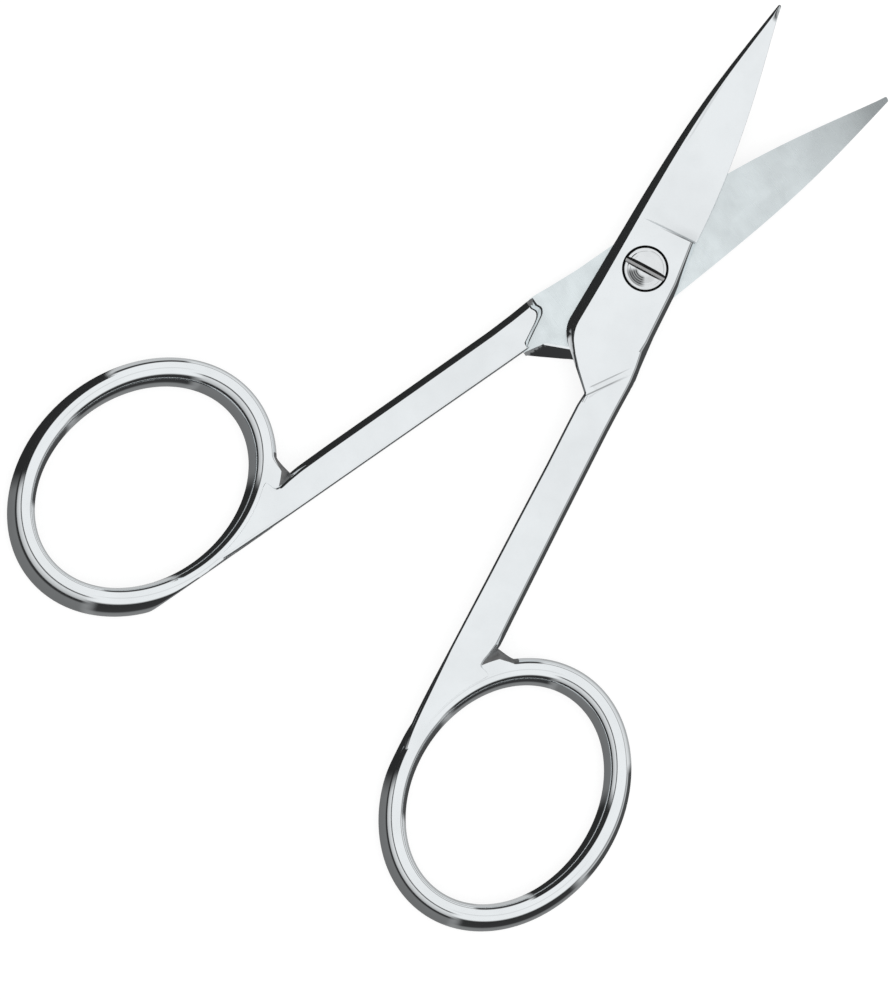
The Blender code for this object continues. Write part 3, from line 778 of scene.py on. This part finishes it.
def grid_object(name, points, materials, closed=False, finishes=POLISHED):
    """Closed skin over a grid: rows run along the piece, columns go round it, and open ends get a flat cap.

    Finishes is one place in the list of materials, or a grid of them with one for each face.
    """
    rows, columns = points.shape[:2]
    index = np.arange(rows * columns).reshape(rows, columns)
    if closed:
        index = np.vstack([index, index[:1]])
    after = np.roll(index, -1, axis=1)
    quads = np.stack([index[:-1], after[:-1], after[1:], index[1:]], axis=-1).reshape(-1, 4)
    corners = points.reshape(-1, 3)[quads]
    middle = points.reshape(-1, 3).mean(axis=0)
    normals = np.cross(corners[:, 2] - corners[:, 0], corners[:, 3] - corners[:, 1])
    outward = ((corners.mean(axis=1) - middle) * normals).sum()
    faces = quads.tolist()
    if not closed:
        faces += [index[0, ::-1].tolist(), index[-1].tolist()]
    if outward < 0:
        faces = [face[::-1] for face in faces]
    mesh = bpy.data.meshes.new(name)
    mesh.from_pydata(points.reshape(-1, 3).tolist(), [], faces)
    slot = np.full(len(faces), finishes if np.ndim(finishes) == 0 else POLISHED, dtype=np.int32)
    slot[: len(quads)] = np.broadcast_to(finishes, (len(index) - 1, columns)).ravel()
    mesh.polygons.foreach_set("material_index", slot)
    for material in materials:
        mesh.materials.append(material)
    obj = bpy.data.objects.new(name, mesh)
    bpy.context.scene.collection.objects.link(obj)
    return obj


def turned_grid(profile, steps):
    """Surface of revolution about the pivot axis: profile points (radius, height) carried round a circle."""
    profile = np.array(profile)
    angle = np.arange(steps)[None, :] * math.tau / steps
    radius, height = profile[:, :1], profile[:, 1:]
    return np.stack([radius * np.cos(angle), radius * np.sin(angle), height + 0 * angle], axis=-1)


def combined(obj, others, operation, solver="EXACT"):
    """Applies Boolean cuts or joins and takes the other objects away. A result without faces is an error."""
    for other in others:
        modifier = obj.modifiers.new(other.name, "BOOLEAN")
        modifier.object = other
        modifier.operation = operation
        modifier.solver = solver
    graph = bpy.context.evaluated_depsgraph_get()
    mesh = bpy.data.meshes.new_from_object(obj.evaluated_get(graph))
    if not mesh.polygons:
        raise RuntimeError(f"Nothing is left of {obj.name}")
    obj.modifiers.clear()
    old = obj.data
    obj.data = mesh
    bpy.data.meshes.remove(old)
    for other in others:
        bpy.data.meshes.remove(other.data)


def finish_piece(obj, body, node):
    """Smooth shading with crisp edges, and the piece's body and the node that it stands for."""
    obj.data.shade_smooth()
    obj.data.set_sharp_from_angle(angle=SHARP_ANGLE)
    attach(obj, body)
    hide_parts(node)


def new_group(name, inputs, outputs):
    """Empty shader node group and its ends. A vector and named numbers go in, and numbers come out."""
    tree = bpy.data.node_groups.new(name, "ShaderNodeTree")
    tree.interface.new_socket(name="Vector", in_out="INPUT", socket_type="NodeSocketVector")
    for socket, value in inputs.items():
        made = tree.interface.new_socket(name=socket, in_out="INPUT", socket_type="NodeSocketFloat")
        made.default_value = value
    for socket in outputs:
        tree.interface.new_socket(name=socket, in_out="OUTPUT", socket_type="NodeSocketFloat")
    return tree, tree.nodes.new("NodeGroupInput").outputs, tree.nodes.new("NodeGroupOutput").inputs


def node(tree, kind, inputs=None, **properties):
    """Adds a node, sets its properties, and links each input to a socket or sets it to a value."""
    made = tree.nodes.new(kind)
    for name, value in properties.items():
        setattr(made, name, value)
    for key, source in (inputs or {}).items():
        if isinstance(source, bpy.types.NodeSocket):
            tree.links.new(source, made.inputs[key])
        else:
            made.inputs[key].default_value = source
    return made


def calc(tree, operation, *values):
    """Result of a Math node."""
    return node(tree, "ShaderNodeMath", dict(enumerate(values)), operation=operation).outputs[0]


def vector_calc(tree, operation, *vectors):
    """Result of a Vector Math node, which is a number for a length or a dot product."""
    made = node(tree, "ShaderNodeVectorMath", dict(enumerate(vectors)), operation=operation)
    return made.outputs["Value" if operation in ("LENGTH", "DOT_PRODUCT") else "Vector"]


def scaled(tree, colour, share):
    """Colour times a number."""
    return node(tree, "ShaderNodeVectorMath", {0: colour, "Scale": share}, operation="SCALE").outputs[0]


def ranged(tree, value, limits, results=(0.0, 1.0), kind="LINEAR"):
    """Value carried from one pair of limits to another, and held beyond them."""
    inputs = {
        "Value": value, "From Min": limits[0], "From Max": limits[1],
        "To Min": results[0], "To Max": results[1],
    }
    return node(tree, "ShaderNodeMapRange", inputs, interpolation_type=kind).outputs["Result"]


def mixed(tree, share, first, second):
    """Mix of two colours: first + (second - first) * share."""
    return node(tree, "ShaderNodeMix", {0: share, 6: first, 7: second}, data_type="RGBA").outputs[2]


def marks_group():
    """Handling marks: soft haze patches and fine hairline scratches, in a few directions."""
    tree, start, end = new_group("handling_marks", {"Patch Size": 4.0 * MM}, ("Haze", "Scratch Height"))
    scale = calc(tree, "DIVIDE", 1.0, start["Patch Size"])
    patches = node(
        tree, "ShaderNodeTexNoise",
        {"Vector": start["Vector"], "Scale": scale, "Detail": 4.0, "Roughness": 0.6},
    )
    tree.links.new(ranged(tree, patches.outputs["Fac"], HAZE_LIMITS), end["Haze"])
    scratches = 0.0
    for turn, spread in SCRATCHES:
        mapping = node(
            tree, "ShaderNodeMapping",
            {"Vector": start["Vector"], "Rotation": (0, 0, turn), "Scale": (spread, SCRATCH_COUNT, spread)},
        )
        lines = node(tree, "ShaderNodeTexNoise", {"Vector": mapping.outputs[0], "Scale": 1.0, "Detail": 1.0})
        scratches = calc(tree, "MAXIMUM", scratches, ranged(tree, lines.outputs["Fac"], SCRATCH_LIMITS))
    tree.links.new(scratches, end["Scratch Height"])
    return tree


def grain_group():
    """Grinding grain: fine lines across the blade in broad uneven bands."""
    tree, start, end = new_group(
        "grinding_grain", {"Line Pitch": 0.06 * MM, "Line Length": 3.0 * MM, "Band Width": 2.5 * MM},
        ("Grain", "Band"),
    )
    sizes = ("Line Pitch", "Line Length", "Band Width")
    along, across, broad = (calc(tree, "DIVIDE", 1.0, start[size]) for size in sizes)
    stretch = node(tree, "ShaderNodeCombineXYZ", {0: across, 1: along, 2: across})
    place = vector_calc(tree, "MULTIPLY", start["Vector"], stretch.outputs[0])
    grain = node(
        tree, "ShaderNodeTexNoise", {"Vector": place, "Scale": 1.0, "Detail": 3.0, "Roughness": 0.65}
    )
    bands = node(
        tree, "ShaderNodeTexNoise",
        {"Vector": start["Vector"], "Scale": broad, "Detail": 2.0, "Roughness": 0.55, "Distortion": 0.6},
    )
    tree.links.new(grain.outputs["Fac"], end["Grain"])
    tree.links.new(bands.outputs["Fac"], end["Band"])
    return tree


def crease_shade_group():
    """Painted shade in creases: thin dark lines along the ricasso and the end of the plate.

    Each line is its strength at its middle, falls to 0 at its width and fades at its ends. The ricasso's also
    has a soft side towards the blade.
    """
    tree, start, end = new_group("painted_crease_shade", {}, ("Painted Shade",))
    total = 0.0
    for (x0, y0), (x1, y1), width, strength, fade_in, fade_out, soft in CREASE_SHADES:
        angle = math.atan2(y1 - y0, x1 - x0)
        cos, sin = math.cos(angle), math.sin(angle)
        length = math.hypot(x1 - x0, y1 - y0) * MM
        moved = ((-x0 * cos - y0 * sin) * MM, (x0 * sin - y0 * cos) * MM, 0.0)
        mapping = node(
            tree, "ShaderNodeMapping",
            {"Vector": start["Vector"], "Location": moved, "Rotation": (0.0, 0.0, -angle)},
        )
        along, away = node(tree, "ShaderNodeSeparateXYZ", {0: mapping.outputs[0]}).outputs[:2]
        distance = calc(tree, "ABSOLUTE", away)
        line = ranged(tree, distance, (0.0, width * MM), (strength, 0.0), "SMOOTHSTEP")
        if soft:
            side = ranged(tree, away, (0.0, SOFT_SIDE_WIDTH), (soft, 0.0))
            side = calc(tree, "MULTIPLY", side, calc(tree, "GREATER_THAN", away, 0.0))
            line = calc(tree, "MAXIMUM", line, side)
        for limits in ((0.0, fade_in * MM), (length, length - fade_out * MM)):
            line = calc(tree, "MULTIPLY", line, ranged(tree, along, limits))
        total = calc(tree, "MAXIMUM", total, line)
    tree.links.new(total, end["Painted Shade"])
    return tree


def reflection_group():
    """Painted dark reflection: a crescent round the middle of the screw head, with fine rings in it.

    Its rings follow the sine of the radius over their pitch, and its ends fade with the cosine of the angle
    from its middle.
    """
    tree, start, end = new_group("painted_head_reflection", {}, ("Stain",))
    flat = vector_calc(tree, "MULTIPLY", start["Vector"], (1.0, 1.0, 0.0))
    radius = vector_calc(tree, "LENGTH", flat)
    middle = (math.cos(REFLECTION_DIRECTION), math.sin(REFLECTION_DIRECTION), 0.0)
    cosine = vector_calc(tree, "DOT_PRODUCT", vector_calc(tree, "NORMALIZE", flat), middle)
    wave = calc(tree, "SINE", calc(tree, "MULTIPLY", radius, math.tau / REFLECTION_RING_PITCH))
    reflection = calc(tree, "MULTIPLY_ADD", wave, *REFLECTION_RINGS)
    for value, limits in (
        (cosine, [math.cos(REFLECTION_ENDS[1]), math.cos(REFLECTION_ENDS[0])]),
        (radius, REFLECTION_RADIUS[:2]),
        (radius, REFLECTION_RADIUS[:1:-1]),
    ):
        reflection = calc(tree, "MULTIPLY", reflection, ranged(tree, value, limits, kind="SMOOTHSTEP"))
    tree.links.new(reflection, end["Stain"])
    return tree


def steel_material(
    name, colour, roughness, grain=None, painted_darkening=None, turn=0.0, side=1.0, haze_size=6.0 * MM
):
    """Bare steel: handling marks vary its roughness and colour, the grain group brushes a ground face.

    Turn and side bring the half's own plan into the patterns, so that both halves are finished alike.
    """
    material = bpy.data.materials.new(name)
    material.use_nodes = True
    tree = material.node_tree
    surface = tree.nodes["Principled BSDF"].inputs
    surface["Metallic"].default_value = 1.0
    place = node(tree, "ShaderNodeTexCoord").outputs["Object"]
    place = node(tree, "ShaderNodeMapping", {"Vector": place, "Rotation": (0.0, 0.0, -turn)}).outputs[0]
    place = node(tree, "ShaderNodeMapping", {"Vector": place, "Scale": (side, 1.0, 1.0)}).outputs[0]
    marks = node(
        tree, "ShaderNodeGroup", {"Vector": place, "Patch Size": haze_size},
        node_tree=shared_group("handling_marks", marks_group),
    ).outputs
    hazy = (channel * HAZE_SHADE for channel in colour)
    base = mixed(tree, marks["Haze"], (*colour, 1.0), (*hazy, 1.0))
    if grain is None:
        rough = calc(tree, "MULTIPLY_ADD", marks["Haze"], roughness * HAZE_ROUGHNESS_SHARE, roughness)
        height, (distance, strength) = marks["Scratch Height"], SCRATCH_BUMP
    else:
        lines = node(tree, "ShaderNodeGroup", {"Vector": place}, node_tree=grain).outputs
        band = ranged(tree, lines["Band"], GRAIN_LIMITS, BAND_SHADES)
        streak = ranged(tree, lines["Grain"], GRAIN_LIMITS, STREAK_SHADES)
        base = scaled(tree, base, calc(tree, "MULTIPLY", band, streak))
        # Painted shade: the ground face darkens towards the tip
        reach = node(tree, "ShaderNodeSeparateXYZ", {0: place}).outputs[1]
        base = scaled(tree, base, ranged(tree, reach, TIP_SHADE_REACH, (1.0, TIP_SHADE)))
        rough = calc(tree, "MULTIPLY_ADD", lines["Grain"], GRAIN_ROUGHNESS, roughness - GRAIN_ROUGHNESS / 2)
        height, (distance, strength) = lines["Grain"], GRAIN_BUMP
    # Painted shade in the creases, or the painted dark reflection on the screw head, darkens the colour
    if painted_darkening is not None:
        dark = node(tree, "ShaderNodeGroup", {"Vector": place}, node_tree=painted_darkening).outputs[0]
        base = scaled(tree, base, calc(tree, "SUBTRACT", 1.0, dark))
    bump = node(tree, "ShaderNodeBump", {"Strength": strength, "Distance": distance, "Height": height})
    for socket, source in (("Base Color", base), ("Roughness", rough), ("Normal", bump.outputs["Normal"])):
        tree.links.new(source, surface[socket])
    return material


def shared_group(name, maker):
    """Node group of that name, made the first time that it is asked for."""
    return bpy.data.node_groups.get(name) or maker()


def painted_shade_material(name):
    """Darkened steel made once, which paints shade in the seat, the slot, the shoulder's creases and the
    corners.
    """
    shade, roughness = SHADE_STEELS[name]
    return bpy.data.materials.get(name) or steel_material(name, (shade,) * 3, roughness, haze_size=1.0 * MM)


def half_materials(finish, turn):
    """Finishes of a half in the order of their places, turned to lie along the half."""
    half = "upper" if turn > 0 else "lower"
    plan = {"turn": turn * REST_OPENING / 2, "side": turn}
    polished = steel_material(
        f"polished_steel_{half}", tuple(finish.polished_colour), finish.polished_roughness,
        painted_darkening=shared_group("painted_crease_shade", crease_shade_group), **plan,
    )
    ground = steel_material(
        f"ground_steel_{half}", tuple(finish.ground_colour), finish.ground_roughness,
        grain=shared_group("grinding_grain", grain_group), **plan,
    )
    return [polished, ground, painted_shade_material("painted_shade_steel"), painted_shade_material("corner_shade_steel")]


def bore_profile(screw):
    """Hole of the upper half with the head's seat, its rim slightly broken."""
    floor = STACK_HEIGHT - HEAD_DEPTH - SEAT_CLEARANCE
    seat = screw.head_diameter / 2 + screw.head_clearance
    bore = JOURNAL_DIAMETER / 2 + RUNNING_CLEARANCE
    return [
        (seat + SEAT_RIM + OVERRUN, STACK_HEIGHT + OVERRUN),
        (seat + SEAT_RIM, STACK_HEIGHT),
        (seat, STACK_HEIGHT - SEAT_RIM),
        (seat, floor),
        (bore, floor),
        (bore, 0.0),
    ]


def make_half(context, name, turn, body):
    """Leaf, handle and ring of one half, bored for the screw and joined."""
    scene = context.scene
    materials = half_materials(scene.scissors_steel, turn)
    leaf_points, leaf_finishes = leaf_grid(scene.scissors_blades, turn)
    leaf = grid_object(name + "_visual", leaf_points, materials, finishes=leaf_finishes)
    handle_points, handle_finishes = handle_grid(scene.scissors_rings, turn)
    handle = grid_object(name + "_handle", handle_points, materials, finishes=handle_finishes)
    ring_points, ring_finishes = ring_grid(scene.scissors_rings, turn)
    ring = grid_object(name + "_ring", ring_points, materials, closed=True, finishes=ring_finishes)
    if turn > 0:
        profile = bore_profile(scene.scissors_screw)
    else:
        radius = THREAD_DIAMETER / 2 + THREAD_CLEARANCE
        profile = [(radius, STACK_HEIGHT), (radius, -OVERRUN)]
    # Painted shade: the bore and the head's seat are nearly black steel
    bore = grid_object(name + "_bore", turned_grid(profile, 160), materials, finishes=SHADE_STEEL)
    combined(leaf, [bore], "DIFFERENCE", "MANIFOLD")
    combined(leaf, [handle, ring], "UNION", "MANIFOLD")
    finish_piece(leaf, body, name)


class SCISSORS_OT_upper_half(bpy.types.Operator):
    """Build the half that carries the screw's seat, with its ring on the right"""

    bl_idname = "scissors.upper_half"
    bl_label = "Upper half"

    def execute(self, context):
        make_half(context, "upper_half", 1, "upper")
        return {"FINISHED"}


class SCISSORS_OT_lower_half(bpy.types.Operator):
    """Build the half that holds the screw's thread, with its ring on the left"""

    bl_idname = "scissors.lower_half"
    bl_label = "Lower half"

    def execute(self, context):
        make_half(context, "lower_half", -1, "lower")
        return {"FINISHED"}


def head_profile(screw):
    """Domed head from near its middle outwards: height rim + dome (1 - s^2), with shallow turned grooves."""
    radius = screw.head_diameter / 2
    rim = STACK_HEIGHT - HEAD_EDGE_ROUND / 2 - HEAD_SUNK
    flat_end = 1 - HEAD_EDGE_ROUND / radius
    share = np.linspace(HEAD_MIDDLE_SHARE, flat_end, 60)
    groove = sum(
        depth * np.sin(math.pi * np.clip((share - low) / (high - low), 0, 1))
        for low, high, depth in HEAD_GROOVES
    )
    top = np.stack([radius * share, rim + HEAD_DOME * (1 - share**2) - groove], axis=1)
    turn = np.linspace(0.0, math.pi / 2, 10)[1:]
    edge_radius = radius - HEAD_EDGE_ROUND * (1 - np.sin(turn))
    edge_height = top[-1, 1] - HEAD_EDGE_ROUND * (1 - np.cos(turn))
    edge = np.stack([edge_radius, edge_height], axis=1)
    return np.vstack([top, edge])


def screw_grid(screw):
    """Head, journal and thread as one turned grid.

    In the thread the radius falls by depth * (1 - |2p - 1|), where p is the fraction of height / pitch less
    angle / 2 pi.
    """
    under = STACK_HEIGHT - HEAD_DEPTH
    journal = JOURNAL_DIAMETER / 2
    thread = THREAD_DIAMETER / 2
    rows = np.linspace(RIDE_HEIGHT - THREAD_START_GAP, END_BEVEL, 70)
    profile = np.vstack(
        [
            head_profile(screw),
            [(screw.head_diameter / 2, under), (journal, under)],
            [(journal, RIDE_HEIGHT), (thread, RIDE_HEIGHT)],
            np.stack([np.full_like(rows, thread), rows], axis=1),
            [(thread - END_BEVEL, 0.0)],
        ]
    )
    points = turned_grid(profile, 160)
    angle = np.arctan2(points[..., 1], points[..., 0])
    height = points[..., 2]
    spare = THREAD_START_GAP / 2
    threaded = (height < RIDE_HEIGHT - spare) & (height > END_BEVEL - spare)
    phase = (height / THREAD_PITCH - angle / math.tau) % 1.0
    top_fade, end_fade = THREAD_FADES
    fade = eased((RIDE_HEIGHT - height) / top_fade) * eased((height - END_BEVEL) / end_fade)
    radius = thread - THREAD_DEPTH * fade * (1 - np.abs(2 * phase - 1))
    scale = np.where(threaded, radius / thread, 1.0)
    points[..., 0] *= scale
    points[..., 1] *= scale
    return points


def slot_grid(screw):
    """Driver slot with a half-round floor: (r cos t, floor + r - r sin t) carried across the head."""
    radius = screw.slot_width / 2
    floor = STACK_HEIGHT + HEAD_DOME - HEAD_SUNK - screw.slot_depth
    turn = np.linspace(0.0, math.pi, 17)
    across = np.concatenate([radius * np.cos(turn), [-radius, radius]])
    height = np.concatenate([floor + radius - radius * np.sin(turn), [floor + OVERRUN] * 2])
    along = np.array([[-screw.head_diameter], [screw.head_diameter]])
    cos, sin = math.cos(screw.slot_angle), math.sin(screw.slot_angle)
    # Painted shade: one side of the slot's floor is nearly black, the rest darkened grey
    finishes = np.where(across > SLOT_SHADE_SHARE * radius, SCREW_SHADE, SCREW_SLOT)[None, :]
    points = np.stack([along * cos - across * sin, along * sin + across * cos, height + 0 * along], axis=-1)
    return points, finishes


class SCISSORS_OT_pivot_screw(bpy.types.Operator):
    """Build the slotted pivot screw with its domed head, journal and thread"""

    bl_idname = "scissors.pivot_screw"
    bl_label = "Pivot screw"

    def execute(self, context):
        screw = context.scene.scissors_screw
        finish = context.scene.scissors_steel
        # The screw's steel carries the painted dark reflection on its head
        turned = steel_material(
            "screw_steel_turned", tuple(finish.screw_colour), finish.screw_roughness,
            painted_darkening=shared_group("painted_head_reflection", reflection_group), haze_size=1.5 * MM,
        )
        materials = [turned, painted_shade_material("shaded_slot_steel"), painted_shade_material("painted_shade_steel")]
        obj = grid_object("pivot_screw_visual", screw_grid(screw), materials)
        slot_points, slot_finishes = slot_grid(screw)
        slot = grid_object("driver_slot", slot_points, materials, finishes=slot_finishes)
        combined(obj, [slot], "DIFFERENCE")
        finish_piece(obj, "lower", "pivot_screw")
        return {"FINISHED"}


def studio_world(scene):
    """White studio for the camera. In reflections it is a wide panel overhead and dark flags around it.

    Each sector has its own ramp of brightness over the angle from the zenith, and the sectors follow each
    other round the horizon, counted from the picture's right.
    """
    world = bpy.data.worlds.new("studio")
    scene.world = world
    world.use_nodes = True
    tree = world.node_tree
    tree.nodes.clear()
    direction = node(tree, "ShaderNodeTexCoord").outputs["Generated"]
    turn = (0.0, 0.0, -scene.scissors_studio.view_turn)
    turned = node(tree, "ShaderNodeMapping", {"Vector": direction, "Rotation": turn})
    x, y, z = node(tree, "ShaderNodeSeparateXYZ", {0: turned.outputs[0]}).outputs
    drop = calc(tree, "DIVIDE", calc(tree, "ARCCOSINE", z), math.pi)
    around = calc(tree, "FRACT", calc(tree, "DIVIDE", calc(tree, "ARCTAN2", y, x), math.tau))

    def ramp(share, stops, full):
        made = node(tree, "ShaderNodeValToRGB", {0: share})
        ramp_stops = made.color_ramp.elements
        while len(ramp_stops) < len(stops):
            ramp_stops.new(0.5)
        for stop, (degrees, value) in zip(ramp_stops, stops):
            stop.position = degrees / full
            stop.color = (*(value * tint for tint in STUDIO_TINT), 1.0)
        return made.outputs["Color"]

    studio = ramp(drop, OPEN_SIDE, 180.0)
    for first, last, blend, stops in FLAGS:
        share = ramp(around, [(first - blend, 0.0), (first, 1.0), (last, 1.0), (last + blend, 0.0)], 360.0)
        studio = mixed(tree, share, studio, ramp(drop, stops, 180.0))
    rays = node(tree, "ShaderNodeLightPath").outputs
    colour = mixed(tree, rays["Is Glossy Ray"], STUDIO_LIGHT, studio)
    colour = mixed(tree, rays["Is Camera Ray"], colour, (1.0, 1.0, 1.0, 1.0))
    background = node(tree, "ShaderNodeBackground", {"Strength": 1.0, "Color": colour})
    output = node(tree, "ShaderNodeOutputWorld")
    tree.links.new(background.outputs[0], output.inputs["Surface"])


def flat_sheet(name, size, centre):
    """Level square that faces up."""
    half = size / 2
    corners = [(-half, -half), (half, -half), (half, half), (-half, half)]
    mesh = bpy.data.meshes.new(name)
    mesh.from_pydata([(centre[0] + x, centre[1] + y, centre[2]) for x, y in corners], [], [(0, 1, 2, 3)])
    obj = bpy.data.objects.new(name, mesh)
    bpy.context.scene.collection.objects.link(obj)
    return obj


def floor_material(colour):
    """Pale matte floor. Camera, glossy and transmission rays also see a little glow, which makes it white."""
    material = bpy.data.materials.new("pale_floor")
    material.use_nodes = True
    tree = material.node_tree
    tree.nodes.clear()
    matte = node(tree, "ShaderNodeBsdfDiffuse", {"Color": (*colour, 1.0)})
    rays = node(tree, "ShaderNodeLightPath").outputs
    seen = calc(tree, "MAXIMUM", rays["Is Camera Ray"], rays["Is Glossy Ray"])
    seen = calc(tree, "MAXIMUM", seen, rays["Is Transmission Ray"])
    glow = node(tree, "ShaderNodeEmission", {"Strength": calc(tree, "MULTIPLY", seen, FLOOR_GLOW)})
    both = node(tree, "ShaderNodeAddShader", {0: matte.outputs[0], 1: glow.outputs[0]})
    output = node(tree, "ShaderNodeOutputMaterial")
    tree.links.new(both.outputs[0], output.inputs["Surface"])
    return material


class SCISSORS_OT_stage(bpy.types.Operator):
    """Set up the pale floor, the studio light and the camera above the scissors"""

    bl_idname = "scissors.stage"
    bl_label = "Stage"

    def execute(self, context):
        scene = context.scene
        settings = scene.scissors_studio
        scene.view_settings.view_transform = "Standard"
        studio_world(scene)
        floor = flat_sheet("floor", FLOOR_SIZE, FLOOR_CENTRE)
        floor.data.materials.append(floor_material(settings.floor_colour))
        floor.visible_glossy = False

        lamp_data = bpy.data.lights.new("overhead_panel", "AREA")
        lamp_data.shape = "SQUARE"
        lamp_data.size = LAMP_SIZE
        lamp_data.energy = settings.key_power
        lamp = bpy.data.objects.new("overhead_panel", lamp_data)
        lamp.location = LAMP_PLACE
        lamp.rotation_euler = LAMP_TURN
        lamp.visible_glossy = False
        scene.collection.objects.link(lamp)

        camera_data = bpy.data.cameras.new("camera")
        camera_data.lens = settings.lens
        camera_data.clip_start = 0.01
        camera_data.clip_end = 10.0
        camera = bpy.data.objects.new("camera", camera_data)
        distance = settings.view_height * settings.lens / camera_data.sensor_width
        camera.location = (*VIEW_CENTRE, distance + RIDE_HEIGHT)
        camera.rotation_euler = (0.0, 0.0, settings.view_turn)
        scene.collection.objects.link(camera)
        scene.camera = camera
        return {"FINISHED"}


class SCISSORS_PT_panel(bpy.types.Panel):
    """Lists the pieces and their sizes"""

    bl_idname = "SCISSORS_PT_panel"
    bl_label = "Manicure scissors"
    bl_space_type = "VIEW_3D"
    bl_region_type = "UI"
    bl_category = "Scissors"

    def draw(self, context):
        layout = self.layout
        for operator in OPERATORS:
            layout.operator(operator.bl_idname)
        for holder, group in GROUPS.items():
            box = layout.box()
            for name in group.__annotations__:
                box.prop(getattr(context.scene, holder), name)


OPERATORS = (SCISSORS_OT_stage, SCISSORS_OT_lower_half, SCISSORS_OT_upper_half, SCISSORS_OT_pivot_screw)
GROUPS = {
    "scissors_blades": BladeSizes,
    "scissors_rings": RingSizes,
    "scissors_screw": ScrewSizes,
    "scissors_steel": SteelFinish,
    "scissors_studio": StudioSettings,
}


def register():
    """Registers the classes, and the settings on the scene."""
    for made in (*GROUPS.values(), *OPERATORS, SCISSORS_PT_panel):
        bpy.utils.register_class(made)
    for holder, group in GROUPS.items():
        setattr(bpy.types.Scene, holder, bpy.props.PointerProperty(type=group))


def unregister():
    """Takes the settings and the classes away again."""
    for holder in GROUPS:
        delattr(bpy.types.Scene, holder)
    for made in reversed((*GROUPS.values(), *OPERATORS, SCISSORS_PT_panel)):
        bpy.utils.unregister_class(made)


def main():
    """Builds the stage and the pieces."""
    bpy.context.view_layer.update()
    register()
    bpy.ops.scissors.stage()
    bpy.ops.scissors.lower_half()
    bpy.ops.scissors.upper_half()
    bpy.ops.scissors.pivot_screw()


if __name__ == "__main__":
    main()
